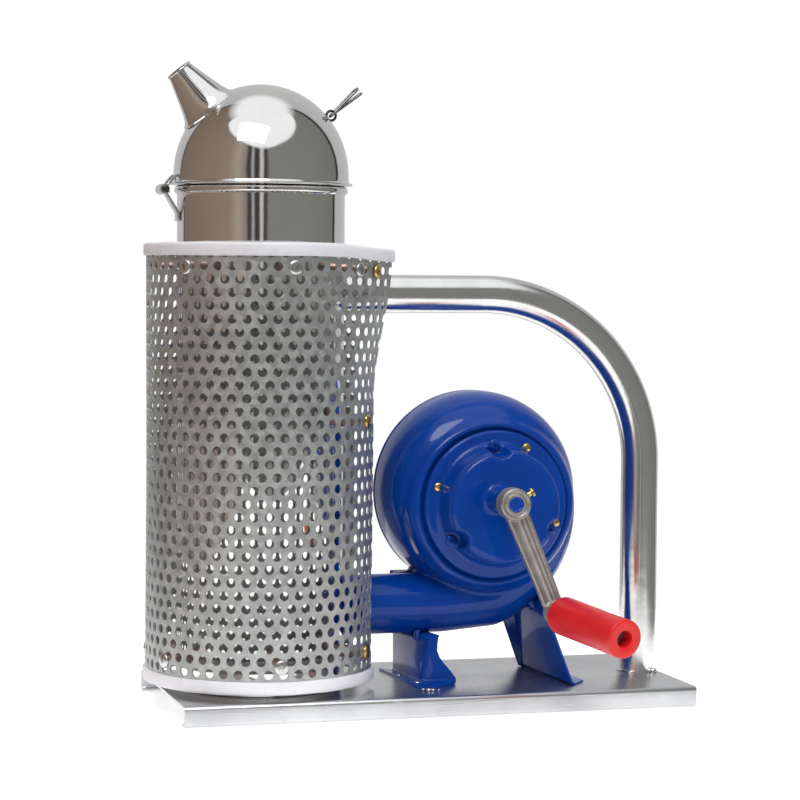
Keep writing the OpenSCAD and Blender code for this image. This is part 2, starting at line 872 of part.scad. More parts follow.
module fan_pinion() {
    color("goldenrod") placed()
        gear_y(fan_c, pinion_z, lay_to_fan + 180 + 180 / pinion_z, -gear_rear, -gear_rear + gear_w,
            fan_nose_r + fixed_fit);
}

module lay_stud() {
    color("silver") placed() bar_y(lay_c, stud_r, -plateau_h + cover_t + 0.2, wall_front);
}

module stud_clip() {
    color("black") placed() along_y(-gear_front - 0.9, -gear_front - 0.3) translate(lay_c) difference() {
        circle(3.2);
        circle(stud_r + fixed_fit);
    }
}

// ---- Shafts and fan ----

module crank_shaft() {
    color("royalblue") placed() difference() {
        bar_y(crank_c, crank_shaft_r, -hub_back - hub_w - 0.2, -gear_front + gear_w + 0.8);
        set_screw_axis() cylinder(h = 2 * hub_r, r = set_screw_r + fixed_fit);
    }
}

module thrust_washer() {
    color("goldenrod") placed() along_y(-gear_front - 0.9, -gear_front - 0.05) translate(crank_c) difference() {
        circle(crank_shaft_r + 3);
        circle(crank_shaft_r + fixed_fit);
    }
}

module fan_shaft() {
    color("silver") placed() {
        bar_y(fan_c, fan_nose_r, -gear_rear - 1, -fan_step);
        bar_y(fan_c, fan_shaft_r, -fan_step, fan_y);
        bar_y(fan_c, fan_end_r, fan_y, fan_y + fan_hub_l + fan_end_l);
    }
}

module fan_bushes() {
    color("peru") placed() for (y = [-bush_front, fan_y - 2 - bush_l])
        along_y(y, y + bush_l) translate(fan_c) difference() {
            circle(bush_r);
            circle(fan_shaft_r + run_fit);
        }
}

module impeller() {
    color("slategray") placed() difference() {
        union() {
            bar_y(fan_c, fan_r, fan_y, fan_y + disc_t);
            bar_y(fan_c, fan_hub_r, fan_y, fan_y + fan_hub_l);
            along_y(fan_y, fan_y + disc_t + blade_h) translate(fan_c)
                for (i = [0 : fan_blades - 1]) rotate(i * 360 / fan_blades)
                    translate([blade_in, -blade_t / 2]) square([fan_r - blade_in, blade_t]);
        }
        bar_y(fan_c, fan_end_r + fixed_fit, fan_y - cut, fan_y + fan_hub_l + cut);
    }
}

module fan_nut() {
    y = fan_y + fan_hub_l;
    color("silver") placed() along_y(y, y + 4) translate(fan_c) difference() {
        circle(5.5, $fn = 6);
        circle(fan_end_r + fixed_fit);
    }
}

// ---- Crank ----

// Puts children on the crank axis with +Z out to the front and +X along the arm
module arm_frame() {
    translate([crank_c[0], 0, crank_c[1]]) rotate([90, 0, 0]) rotate(crank_rest) children();
}

// Puts children on the grip's axis, with +Z out along the grip
module grip_frame() {
    translate([grip_c[0], -grip_out, grip_c[1]]) rotate([0, 90 + grip_drop, -90 + grip_splay]) children();
}

module set_screw_axis() {
    translate([crank_c[0], -hub_back - hub_w / 2, crank_c[1]]) rotate([0, 90 - set_screw_angle, 0]) children();
}

module arm_blade() {
    rise = hub_back + 1.2;
    translate([0, 0, rise]) rotate([0, -arm_tilt, 0]) linear_extrude(arm_t) polygon([
        [0, -arm_w_hub / 2], [crank_l, -arm_w_end / 2], [crank_l, arm_w_end / 2], [0, arm_w_hub / 2]
    ]);
}

module crank_arm() {
    color("gray") placed() difference() {
        union() {
            bar_y(crank_c, hub_r, -hub_back - hub_w, -hub_back);
            arm_frame() arm_blade();
            grip_frame() translate([0, 0, -arm_boss_l]) cylinder(h = arm_boss_l, r = arm_boss_r);
        }
        bar_y(crank_c, crank_shaft_r + fixed_fit, -hub_back - 2 * hub_w, 0);
        grip_frame() translate([0, 0, -2 * arm_boss_l]) cylinder(h = 3 * arm_boss_l, r = grip_pin_r + fixed_fit);
        grip_frame() cylinder(h = arm_boss_l, r = 2 * arm_boss_r);
        set_screw_axis() cylinder(h = 2 * hub_r, r = set_screw_r + fixed_fit);
    }
}

module crank_set_screw() {
    color("goldenrod") placed() set_screw_axis()
        translate([0, 0, hub_r + 1.6]) pan_screw(set_screw_r, 2.8, 2.4, 5.2);
}

module grip_pin() {
    seat = grip_gap + grip_l - counterbore_l;
    color("silver") placed() grip_frame() {
        translate([0, 0, -arm_boss_l]) cylinder(h = arm_boss_l + seat + rest_gap, r = grip_pin_r);
        translate([0, 0, seat + rest_gap]) cylinder(h = 3, r = counterbore_r - 2 * rest_gap);
    }
}

module grip() {
    soft = 5;
    edge = 1.5;
    color("red") placed() grip_frame() translate([0, 0, grip_gap]) difference() {
        rotate_extrude() polygon(concat(
            [[0, 0]],
            [for (a = [-90 : 15 : 0]) [grip_r - soft + soft * cos(a), soft + soft * sin(a)]],
            [[grip_r, grip_l - edge], [grip_r - edge, grip_l], [0, grip_l]]
        ));
        translate([0, 0, -cut]) cylinder(h = grip_l, r = grip_pin_r + run_fit);
        translate([0, 0, grip_l - counterbore_l]) cylinder(h = grip_l, r = counterbore_r);
    }
}

// ---- Legs ----

// The right leg hangs from one flat facet of the spiral
facet_a = spiral_point(leg_facet * spiral_step, 0);
facet_b = spiral_point((leg_facet + 1) * spiral_step, 0);
facet_dir = (facet_b - facet_a) / norm(facet_b - facet_a);
facet_out = [facet_dir[1], -facet_dir[0]];
right_top = facet_a + outward();
right_foot = [right_top[0] + leg_lean, base_h];
left_top = [leg_left_top, outlet_z - outlet_r - leg_t];
left_foot = [leg_left_foot, base_h];

function foot_x_left() = left_foot[0] - foot_w / 2;
function foot_x_right() = right_foot[0] + foot_w / 2;

// Side outline of a leg: wide at the foot, narrower where it meets the housing
module leg_side(top_z) {
    polygon([
        [leg_foot_y[0], base_h], [leg_foot_y[1], base_h],
        [leg_top_y[1], top_z], [leg_top_y[0], top_z]
    ]);
}

// Sloping web, sloping front flange and foot of a leg; out is the side its foot points to
module leg_sheet(foot, top, out) {
    intersection() {
        along_y(leg_foot_y[0], leg_foot_y[1])
            polygon(strip(foot - (top - foot) * 0.2, top + (top - foot) * 0.05, leg_t));
        translate([foot[0], 0, 0]) rotate([90, 0, 90])
            linear_extrude(4 * leg_front_w, center = true) leg_side(top[1]);
    }
    intersection() {
        translate([foot[0], 0, 0]) rotate([90, 0, 90]) linear_extrude(4 * leg_front_w, center = true)
            polygon(strip([leg_foot_y[0] + leg_t, base_h - 2], [leg_top_y[0] + leg_t, top[1]], leg_t));
        along_y(leg_foot_y[0] - foot_w, leg_top_y[1]) polygon([
            foot, foot - [out * (leg_front_w + 4), 0], foot - [out * leg_front_w, -6],
            top - [out * leg_front_top_w, 0], top
        ]);
    }
    along_y(leg_foot_y[0] + 4, leg_foot_y[1]) polygon([
        foot - [out * leg_t, 0], foot + [out * foot_w, 0],
        foot + [out * foot_w, leg_t], foot - [out * leg_t, -leg_t]
    ]);
}

module leg_left() {
    color("navy") placed() difference() {
        union() {
            leg_sheet(left_foot, left_top, -1);
            along_y(leg_top_y[0], leg_top_y[1])
                translate(left_top - [leg_t, 0]) square([leg_tab_l, leg_t]);
        }
        foot_holes();
        leg_bolt_holes();
    }
}

module leg_right() {
    color("navy") placed() difference() {
        union() {
            leg_sheet(right_foot, right_top, 1);
            along_y(leg_top_y[0], leg_top_y[1])
                polygon([facet_a, facet_b, facet_b + outward(), facet_a + outward()]);
        }
        foot_holes();
        leg_bolt_holes();
    }
}

function outward() = (facet_out[1] < 0 ? facet_out : -facet_out) * leg_t;

// Places of the bolts that hold the legs to the housing, with +Z into the housing
module at_leg_bolts() {
    for (y = leg_bolt_y) {
        translate([left_top[0] + leg_bolt_in, y, left_top[1]]) children();
        seat = facet_a + bolt_share * (facet_b - facet_a) + outward();
        translate([seat[0], y, seat[1]])
            rotate([0, atan2(-outward()[0], -outward()[1]), 0]) children();
    }
}

module leg_bolt_holes() {
    at_leg_bolts() translate([0, 0, -cut]) cylinder(h = leg_t + cast_t + 2 * cut, r = rivet_r + fixed_fit);
}

module leg_bolts() {
    color("silver") placed() at_leg_bolts() rotate([180, 0, 0]) pan_screw(rivet_r, 3.4, 2, leg_t + cast_t + 0.5);
}

module foot_rivets() {
    color("silver") placed() for (x = [foot_x_left(), foot_x_right()], y = rivet_y)
        translate([x, y, base_h + leg_t]) {
            pan_screw(rivet_r, 3.4, 1.8, leg_t + base_t);
            translate([0, 0, -leg_t - base_t - 1.2]) cylinder(h = 1.2, r = 3.2);
        }
}

base_plate();
handle_tube();
fire_pot();
fire_grate();
grate_legs();
pot_bolts();
pot_nuts();
heat_guard();
guard_top_trim();
guard_bottom_trim();
guard_spacers();
guard_screws();
edge_screws();
pot_hinge_leaf();
hinge_pin();
lid_dome();
spout();
lid_hinge_leaf();
lift_handle();
handle_eye();
blower_housing();
outlet_pipe();
blower_back_cover();
back_cover_screws();
gear_cover();
cover_bolts();
rim_screws();
lay_stud();
stud_clip();
fan_bushes();
leg_left();
leg_right();
leg_bolts();
foot_rivets();
crank_shaft();
thrust_washer();
crank_gear();
crank_arm();
crank_set_screw();
grip_pin();
grip();
lay_pinion();
lay_gear();
fan_shaft();
fan_pinion();
impeller();
fan_nut();
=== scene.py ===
import json
import math
import bpy
from mathutils import Matrix, Vector, noise


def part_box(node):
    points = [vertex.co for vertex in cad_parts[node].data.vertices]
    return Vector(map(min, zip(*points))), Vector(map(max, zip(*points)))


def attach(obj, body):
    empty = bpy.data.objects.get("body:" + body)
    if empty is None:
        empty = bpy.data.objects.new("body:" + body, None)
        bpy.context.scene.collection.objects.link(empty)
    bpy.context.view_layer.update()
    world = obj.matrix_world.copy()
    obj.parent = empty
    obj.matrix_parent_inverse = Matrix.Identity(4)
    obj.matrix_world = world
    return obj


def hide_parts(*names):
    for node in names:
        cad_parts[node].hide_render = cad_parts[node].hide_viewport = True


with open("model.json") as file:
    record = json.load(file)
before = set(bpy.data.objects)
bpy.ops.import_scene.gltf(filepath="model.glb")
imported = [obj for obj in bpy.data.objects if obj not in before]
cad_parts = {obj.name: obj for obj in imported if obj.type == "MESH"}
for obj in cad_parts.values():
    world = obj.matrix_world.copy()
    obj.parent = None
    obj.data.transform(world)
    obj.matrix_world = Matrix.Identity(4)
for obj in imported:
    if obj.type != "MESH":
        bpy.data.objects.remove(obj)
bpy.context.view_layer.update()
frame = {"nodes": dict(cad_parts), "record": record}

baseLow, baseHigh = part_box("base_plate")
baseMiddle = Vector(((baseLow.x + baseHigh.x) / 2, (baseLow.y + baseHigh.y) / 2, 0))
mm = 0.001
forward = Vector((0, -1, 0))  # the way the crank faces
upward = Vector((0, 0, 1))


def at(x, y, z):
    # millimetres from the middle of the base plate, on the bench
    return baseMiddle + Vector((x, y, z)) * mm


# ---------- shader building ----------

class Sock:
    # a node's output that can be added, multiplied and so on
    def __init__(self, graph, out):
        self.graph = graph
        self.out = out

    def math(self, operation, first, second=None):
        values = [first] if second is None else [first, second]
        return self.graph.add("ShaderNodeMath", {"operation": operation}, *values)

    def __add__(self, other):
        return self.math("ADD", self, other)

    def __radd__(self, other):
        return self.math("ADD", other, self)

    def __sub__(self, other):
        return self.math("SUBTRACT", self, other)

    def __rsub__(self, other):
        return self.math("SUBTRACT", other, self)

    def __mul__(self, other):
        return self.math("MULTIPLY", self, other)

    def __rmul__(self, other):
        return self.math("MULTIPLY", other, self)

    def __truediv__(self, other):
        return self.math("DIVIDE", self, other)

    def __pow__(self, other):
        return self.math("POWER", self, other)


class Graph:
    def __init__(self, name, world=None):
        self.owner = world or bpy.data.materials.new(name)
        self.owner.use_nodes = True
        self.tree = self.owner.node_tree
        self.tree.nodes.clear()

    def add(self, kind, settings, *values, out=0, **named):
        node = self.tree.nodes.new(kind)
        for key, value in settings.items():
            if key == "stops":
                self.setStops(node.color_ramp, value)
            else:
                setattr(node, key, value)
        for key, value in list(enumerate(values)) + list(named.items()):
            if isinstance(key, str) and key not in node.inputs:
                key = key.replace("_", " ")
            self.feed(node.inputs[key], value)
        return Sock(self, node.outputs[out]) if len(node.outputs) else node

    def setStops(self, ramp, stops):
        while len(ramp.elements) > 1:
            ramp.elements.remove(ramp.elements[0])
        ramp.elements[0].position = stops[0][0]
        for place, colour in stops[1:]:
            ramp.elements.new(place)
        for element, (place, colour) in zip(ramp.elements, stops):
            element.color = (*colour, 1) if len(colour) == 3 else colour

    def feed(self, socket, value):
        if isinstance(value, Sock):
            self.tree.links.new(value.out, socket)
        else:
            socket.default_value = value

    def place(self, scale=(1, 1, 1), turn=(0, 0, 0)):
        here = self.add("ShaderNodeTexCoord", {}, out=3)
        return self.add("ShaderNodeMapping", {}, here, Scale=scale, Rotation=turn)

    def noise(self, scale, detail=3.0, rough=0.5, stretch=(1, 1, 1), turn=(0, 0, 0)):
        return self.add("ShaderNodeTexNoise", {}, Vector=self.place(stretch, turn), Scale=scale,
                        Detail=detail, Roughness=rough)

    def cells(self, scale, stretch=(1, 1, 1), out=1):
        return self.add("ShaderNodeTexVoronoi", {}, Vector=self.place(stretch), Scale=scale, out=out)

    def ramp(self, value, *stops):
        return self.add("ShaderNodeValToRGB", {"stops": stops}, value)

    def span(self, value, low, high, start=0.0, end=1.0):
        return self.add("ShaderNodeMapRange", {"clamp": True}, value, low, high, start, end)

    def blend(self, share, first, second):
        node = self.tree.nodes.new("ShaderNodeMix")
        node.data_type = "RGBA"
        self.feed(node.inputs[0], share)
        self.feed(node.inputs[6], first if isinstance(first, Sock) else (*first, 1))
        self.feed(node.inputs[7], second if isinstance(second, Sock) else (*second, 1))
        return Sock(self, node.outputs[2])

    def bump(self, height, strength, distance):
        return self.add("ShaderNodeBump", {}, Strength=strength, Distance=distance, Height=height)

    def surface(self, **inputs):
        shader = self.add("ShaderNodeBsdfPrincipled", {}, **inputs)
        self.add("ShaderNodeOutputMaterial", {}, shader)
        return self.owner


def edgeWearAndSheen(g, low=0.53, high=0.62):
    # brighter where the surface turns sharply outwards: rubbed wear on the cast metal, a painted highlight on the
    # rounded edges of the enamel
    point = g.add("ShaderNodeNewGeometry", {}, out=7)
    return g.span(point, low, high)


def makeMirrorSteel():
    g = Graph("mirrorSteel")
    waves = g.noise(24, 2, 0.5, (1, 1, 0.25))
    dents = g.noise(90, 2, 0.5)
    smudge = g.span(g.noise(38, 5, 0.62), 0.45, 0.72)
    streak = g.noise(700, 2, 0.5, (1, 1, 0.02))
    tint = g.blend(smudge * 0.5, (0.80, 0.79, 0.78), (0.70, 0.685, 0.665))
    height = waves * 1.0 + dents * 0.10 + streak * 0.006
    return g.surface(Base_Color=tint, Metallic=1.0, Roughness=0.025 + smudge * 0.05 + streak * 0.04,
                     Normal=g.bump(height, 0.35, 0.0011))


def makeSatinSteel():
    g = Graph("satinSteel")
    grain = g.noise(1500, 3, 0.6, (0.02, 1, 1))
    cloud = g.noise(16, 4, 0.6)
    scratch = g.span(g.noise(420, 2, 0.5, (0.06, 1, 1), (0, 0, 0.35)), 0.64, 0.70)
    tint = g.blend(g.span(cloud, 0.35, 0.7), (0.72, 0.73, 0.74), (0.60, 0.61, 0.63))
    tint = g.blend(scratch * 0.35, tint, (0.86, 0.87, 0.88))
    rough = 0.22 + grain * 0.10 + g.span(cloud, 0.4, 0.7) * 0.08
    return g.surface(Base_Color=tint, Metallic=1.0, Roughness=rough,
                     Normal=g.bump(grain * 0.5 + scratch * 0.5 + cloud * 0.8, 0.18, 0.0004))


def makeTubeSteel():
    g = Graph("tubeSteel")
    grain = g.noise(900, 2, 0.5, (1, 1, 0.03))
    along = g.noise(900, 2, 0.5, (0.03, 1, 1))
    smudge = g.span(g.noise(30, 4, 0.6), 0.42, 0.7)
    tint = g.blend(smudge * 0.6, (0.78, 0.78, 0.775), (0.66, 0.655, 0.65))
    return g.surface(Base_Color=tint, Metallic=1.0, Roughness=0.11 + grain * 0.05 + along * 0.05 + smudge * 0.05,
                     Normal=g.bump(g.noise(60, 2, 0.5) + (grain + along) * 0.02, 0.25, 0.0006))


def makeGalvanised():
    g = Graph("galvanised")
    spangle = g.cells(260)
    flake = g.add("ShaderNodeSeparateColor", {}, spangle)
    dull = g.noise(55, 5, 0.65)
    tint = g.blend(flake, (0.44, 0.46, 0.455), (0.60, 0.62, 0.61))
    tint = g.blend(g.span(dull, 0.45, 0.75) * 0.55, tint, (0.36, 0.37, 0.36))
    fine = g.noise(1400, 2, 0.5)
    return g.surface(Base_Color=tint, Metallic=0.85, Roughness=0.36 + flake * 0.10 + dull * 0.12,
                     Normal=g.bump(dull * 0.6 + fine * 0.15 + flake * 0.05, 0.3, 0.0005))


def makeBlueEnamel():
    g = Graph("blueEnamel")
    peel = g.noise(330, 2, 0.45)
    sag = g.noise(42, 3, 0.5)
    depth = g.noise(26, 4, 0.55)
    speck = g.span(g.noise(760, 1, 0.5), 0.76, 0.80)
    tint = g.blend(g.span(depth, 0.3, 0.75), (0.001, 0.036, 0.270), (0.002, 0.056, 0.350))
    # lighter blue along the convex edges: a painted highlight, not wear on the paint
    tint = g.blend(edgeWearAndSheen(g) * 0.5, tint, (0.008, 0.120, 0.520))
    tint = g.blend(speck * 0.25, tint, (0.05, 0.10, 0.30))
    return g.surface(Base_Color=tint, Metallic=0.0, Roughness=0.20 + speck * 0.15 + sag * 0.06,
                     Coat_Weight=0.45, Coat_Roughness=0.05, Specular_IOR_Level=0.08,
                     Normal=g.bump(peel * 0.35 + sag * 1.3 + speck * 0.3, 0.22, 0.0005))


def makeWhiteEdging():
    g = Graph("whiteEdging")
    mottle = g.noise(210, 4, 0.6)
    dirt = g.span(g.noise(34, 5, 0.65), 0.5, 0.78)
    tint = g.blend(dirt * 0.6, (0.84, 0.84, 0.88), (0.66, 0.66, 0.69))
    return g.surface(Base_Color=tint, Roughness=0.42 + mottle * 0.25,
                     Normal=g.bump(mottle + g.noise(900, 2, 0.5) * 0.2, 0.35, 0.0006))


def makeRedPlastic():
    g = Graph("redPlastic")
    flow = g.noise(60, 4, 0.6, (1, 0.35, 1))
    scuff = g.span(g.noise(340, 4, 0.7, (1, 0.2, 1)), 0.60, 0.74)
    tint = g.blend(g.span(flow, 0.3, 0.75), (0.62, 0.006, 0.010), (0.78, 0.016, 0.012))
    tint = g.blend(scuff * 0.3, tint, (0.86, 0.10, 0.08))
    return g.surface(Base_Color=tint, Roughness=0.30 + scuff * 0.22 + flow * 0.08,
                     Normal=g.bump(flow * 1.2 + scuff * 0.2 + g.noise(1500, 1, 0.5) * 0.06, 0.2, 0.0004))


def makeCastMetal():
    g = Graph("castMetal")
    sand = g.noise(950, 4, 0.7)
    pits = g.span(g.cells(520, out=0), 0.0, 0.34)
    cloud = g.noise(70, 5, 0.62)
    tint = g.blend(g.span(cloud, 0.32, 0.7), (0.50, 0.47, 0.45), (0.33, 0.30, 0.285))
    tint = g.blend(edgeWearAndSheen(g, 0.52, 0.60) * 0.7, tint, (0.74, 0.72, 0.69))
    rough = 0.34 + sand * 0.18 + cloud * 0.10
    return g.surface(Base_Color=tint, Metallic=0.9, Roughness=rough,
                     Normal=g.bump(sand * 0.4 + pits * 0.5 + cloud * 1.2, 0.45, 0.0005))


def makePlated(name, light, dark, rough):
    g = Graph(name)
    cloud = g.noise(420, 4, 0.6)
    fine = g.noise(2400, 2, 0.5)
    tint = g.blend(g.span(cloud, 0.3, 0.72), light, dark)
    return g.surface(Base_Color=tint, Metallic=1.0, Roughness=rough + cloud * 0.12,
                     Normal=g.bump(cloud + fine * 0.25, 0.25, 0.0002))


def makeSprungBrass():
    g = Graph("turnedBrass")
    turned = g.noise(2600, 2, 0.5, (1, 0.05, 1))
    tarnish = g.noise(160, 4, 0.6)
    tint = g.blend(g.span(tarnish, 0.35, 0.7), (0.78, 0.56, 0.25), (0.52, 0.35, 0.14))
    return g.surface(Base_Color=tint, Metallic=1.0, Roughness=0.22 + tarnish * 0.15,
                     Normal=g.bump(turned, 0.2, 0.0002))


def makeFloor():
    g = Graph("studioFloor")
    soft = g.noise(3, 3, 0.5)
    tint = g.blend(soft, (0.72, 0.72, 0.72), (0.68, 0.68, 0.685))
    return g.surface(Base_Color=tint, Roughness=0.8, Emission_Color=(1, 1, 1, 1), Emission_Strength=0.6)


finishes = {
    "polished_stainless": makeMirrorSteel(), "satin_stainless": makeSatinSteel(), "tube": makeTubeSteel(),
    "galvanised_sheet": makeGalvanised(), "blue_enamel": makeBlueEnamel(),
    "white_edging": makeWhiteEdging(), "red_plastic": makeRedPlastic(), "cast_metal": makeCastMetal(),
    "yellow_zinc": makePlated("yellowZinc", (0.80, 0.60, 0.25), (0.52, 0.34, 0.11), 0.20),
    "bright_steel": makePlated("brightSteel", (0.76, 0.76, 0.75), (0.55, 0.55, 0.56), 0.20),
    "dark_steel": makePlated("darkSteel", (0.13, 0.125, 0.12), (0.06, 0.055, 0.05), 0.34),
    "brass": makeSprungBrass(),
}
finishes["wire"] = makePlated("wireSteel", (0.34, 0.335, 0.33), (0.20, 0.195, 0.19), 0.25)
print("materials ready:", len(finishes))


# ---------- camera, floor and light ----------

view = {"place": (-469.4, -1588.6, 278.3), "turn": -16.08, "down": 2.84, "roll": 0.43, "lens": 114.12}
cameraData = bpy.data.cameras.new("camera")
cameraData.lens = view["lens"]
cameraData.sensor_width = 36
cameraData.clip_end = 100
camera = bpy.data.objects.new("camera", cameraData)
bpy.context.collection.objects.link(camera)
turned = Matrix.Rotation(math.radians(view["turn"]), 4, "Z")
tipped = Matrix.Rotation(math.radians(90 - view["down"]), 4, "X")
rolled = Matrix.Rotation(math.radians(view["roll"]), 4, "Z")
camera.matrix_world = Matrix.Translation(at(*view["place"])) @ turned @ tipped @ rolled
bpy.context.scene.camera = camera
bpy.context.scene.view_settings.view_transform = "Standard"


def makeWorld():
    g = Graph("studio", world=bpy.data.worlds.new("studio"))
    way = g.add("ShaderNodeTexCoord", {}, out=0)
    split = g.add("ShaderNodeSeparateXYZ", {}, way)
    x, y, z = (Sock(g, split.out.node.outputs[i]) for i in range(3))
    around = g.add("ShaderNodeMath", {"operation": "ARCTAN2"}, y, x) / (2 * math.pi) + 0.5
    room = g.ramp(around, *roomColours)
    apart = (around - 0.222).math("ABSOLUTE", around - 0.222)
    wedge = g.span(g.span(z, 0.50, 0.90, 0.0, 0.27) - apart, -0.012, 0.012) * g.span(z, 0.50, 0.58)
    ceiling = g.span(z, 0.85, 0.93).math("MAXIMUM", g.span(z, 0.85, 0.93), wedge)
    shown = g.blend(ceiling, room, (1.05, 1.06, 1.08))
    below = g.span(z, -0.9, -0.2)
    shown = g.blend(below, (0.26, 0.24, 0.23), shown)
    straight = g.add("ShaderNodeLightPath", {}, out=0)
    shown = g.blend(straight, shown, (1.0, 1.0, 1.0))
    light = g.add("ShaderNodeBackground", {}, shown, 1.0)
    g.add("ShaderNodeOutputWorld", {}, light)
    bpy.context.scene.world = g.owner


# the room as the metal sees it, turning from -X through -Y and +X to +Y and back to -X
roomColours = [
    (0.000, (0.27, 0.205, 0.160)),
    (0.090, (0.30, 0.235, 0.185)),
    (0.130, (0.42, 0.36, 0.31)),
    (0.158, (0.30, 0.24, 0.20)),
    (0.166, (0.05, 0.04, 0.04)),
    (0.176, (0.09, 0.08, 0.08)),
    (0.182, (0.50, 0.50, 0.50)),
    (0.192, (0.05, 0.05, 0.05)),
    (0.206, (0.06, 0.05, 0.05)),
    (0.212, (0.62, 0.61, 0.59)),
    (0.220, (0.58, 0.57, 0.55)),
    (0.225, (0.07, 0.05, 0.05)),
    (0.236, (0.09, 0.07, 0.07)),
    (0.243, (0.24, 0.24, 0.23)),
    (0.400, (0.23, 0.235, 0.22)),
    (0.532, (0.20, 0.20, 0.19)),
    (0.538, (0.03, 0.03, 0.03)),
    (0.548, (0.05, 0.05, 0.05)),
    (0.556, (0.52, 0.52, 0.53)),
    (0.700, (0.60, 0.60, 0.60)),
    (0.840, (0.54, 0.54, 0.56)),
    (0.850, (0.06, 0.05, 0.05)),
    (0.858, (0.22, 0.165, 0.13)),
    (1.000, (0.27, 0.205, 0.160)),
]
makeWorld()


def addPanel(name, place, target, size, power, colour=(1, 1, 1)):
    data = bpy.data.lights.new(name, "AREA")
    data.shape = "RECTANGLE"
    data.size, data.size_y = size
    data.energy = power
    data.color = colour
    lamp = bpy.data.objects.new(name, data)
    bpy.context.collection.objects.link(lamp)
    aim = (Vector(target) - Vector(place)).normalized()
    lamp.rotation_euler = aim.to_track_quat("-Z", "Y").to_euler()
    lamp.location = place
    lamp.visible_glossy = name == "keyLight"


addPanel("keyLight", (-0.75, -1.15, 2.1), (0, 0, 0.12), (1.3, 0.9), 23)
addPanel("fillLight", (1.5, -1.9, 0.9), (0, 0, 0.12), (1.2, 1.2), 13, (0.96, 0.98, 1.0))
addPanel("backLight", (0.2, 1.9, 1.5), (0, 0, 0.1), (1.8, 1.0), 14)

bpy.ops.object.select_all(action="DESELECT")
bpy.ops.mesh.primitive_plane_add(size=0.86, location=(0, 0, -0.0002))
floor = bpy.context.object
floor.name = "studioFloor"
floor.data.materials.append(makeFloor())
print("camera, floor and light ready")


# ---------- modelling helpers ----------

def clearPick():
    if bpy.context.mode != "OBJECT":
        bpy.ops.object.mode_set(mode="OBJECT")
    bpy.ops.object.select_all(action="DESELECT")


def pick(obj):
    clearPick()
    obj.select_set(True)
    bpy.context.view_layer.objects.active = obj
    return obj


def editAll(obj):
    pick(obj)
    bpy.ops.object.mode_set(mode="EDIT")
    bpy.ops.mesh.select_all(action="SELECT")


def editDone():
    bpy.ops.object.mode_set(mode="OBJECT")


def drawLine(name, points, closed=False):
    # a line of edges drawn by extruding one vertex
    clearPick()
    bpy.ops.mesh.primitive_plane_add(size=0.001, location=points[0])
    obj = bpy.context.object
    obj.name = name
    bpy.ops.object.mode_set(mode="EDIT")
    bpy.ops.mesh.merge(type="CENTER")
    for here, there in zip(points, points[1:]):
        bpy.ops.mesh.extrude_region_move(TRANSFORM_OT_translate={"value": there - here})
    if closed:
        bpy.ops.mesh.select_all(action="SELECT")
        bpy.ops.mesh.edge_face_add()
    return obj


def cleanUp(obj, reach=1e-6):
    editAll(obj)
    bpy.ops.mesh.remove_doubles(threshold=reach)
    bpy.ops.mesh.normals_make_consistent(inside=False)
    editDone()
    return obj


def lathe(name, profile, centre, axis=upward, out=None, closed=True, steps=96, turn=360, begin=0):
    # profile is (radius, height along the axis) in millimetres
    side = out or (Vector((1, 0, 0)) if abs(axis.x) < 0.9 else Vector((0, 1, 0)))
    side = (side - axis * side.dot(axis)).normalized()
    side = Matrix.Rotation(math.radians(begin), 3, axis) @ side
    points = [centre + side * (r * mm) + axis * (h * mm) for r, h in profile]
    obj = drawLine(name, points, closed)
    if closed:
        bpy.ops.mesh.delete(type="ONLY_FACE")
    bpy.ops.mesh.select_all(action="SELECT")
    bpy.ops.mesh.spin(steps=steps, angle=math.radians(turn), center=centre, axis=axis)
    editDone()
    if turn < 360 and closed:
        editAll(obj)
        bpy.ops.mesh.select_all(action="DESELECT")
        bpy.ops.mesh.select_non_manifold()
        bpy.ops.mesh.edge_face_add()
        bpy.ops.mesh.select_all(action="DESELECT")
        editDone()
    return cleanUp(obj)


def arc(cx, cy, r, start, end, count):
    turns = [math.radians(start + (end - start) * i / count) for i in range(count + 1)]
    return [(cx + r * math.cos(a), cy + r * math.sin(a)) for a in turns]


def plate(name, outline, depth, closed=True):
    # outline is a list of row points; the sheet or slab is pushed along depth
    obj = drawLine(name, outline, closed)
    bpy.ops.mesh.select_all(action="SELECT")
    bpy.ops.mesh.extrude_region_move(TRANSFORM_OT_translate={"value": depth})
    editDone()
    if closed:
        editAll(obj)
        bpy.ops.mesh.normals_make_consistent(inside=False)
        editDone()
    return obj


def modify(obj, kind, **settings):
    pick(obj)
    step = obj.modifiers.new(kind.lower(), kind)
    for key, value in settings.items():
        setattr(step, key, value)
    bpy.ops.object.modifier_apply(modifier=step.name)
    return obj


def soften(obj, width, segments=3, angle=35):
    return modify(obj, "BEVEL", width=width * mm, segments=segments, limit_method="ANGLE",
                  angle_limit=math.radians(angle), use_clamp_overlap=True)


def cutWith(obj, tool, operation="DIFFERENCE", solver="EXACT"):
    modify(obj, "BOOLEAN", object=tool, operation=operation, solver=solver)
    bpy.data.objects.remove(tool, do_unlink=True)
    return obj


def joinAll(name, parts):
    clearPick()
    for part in parts:
        part.select_set(True)
    bpy.context.view_layer.objects.active = parts[0]
    if len(parts) > 1:
        bpy.ops.object.join()
    obj = bpy.context.view_layer.objects.active
    obj.name = name
    return obj


def remesh(obj, size, rounds=6, strength=0.5):
    modify(obj, "REMESH", mode="VOXEL", voxel_size=size * mm, use_smooth_shade=True)
    return modify(obj, "SMOOTH", factor=strength, iterations=rounds)


def moveMesh(obj, matrix):
    obj.data.transform(matrix)
    obj.data.update()
    return obj


def copyTo(master, name, matrix):
    obj = master.copy()
    obj.data = master.data.copy()
    obj.name = name
    bpy.context.collection.objects.link(obj)
    return moveMesh(obj, matrix)


def standOn(place, axis, spin=0):
    # puts a master made on +Z at the origin on a place, pointing along axis
    turnTo = axis.normalized().to_track_quat("Z", "Y").to_matrix().to_4x4()
    return Matrix.Translation(place) @ turnTo @ Matrix.Rotation(math.radians(spin), 4, "Z")


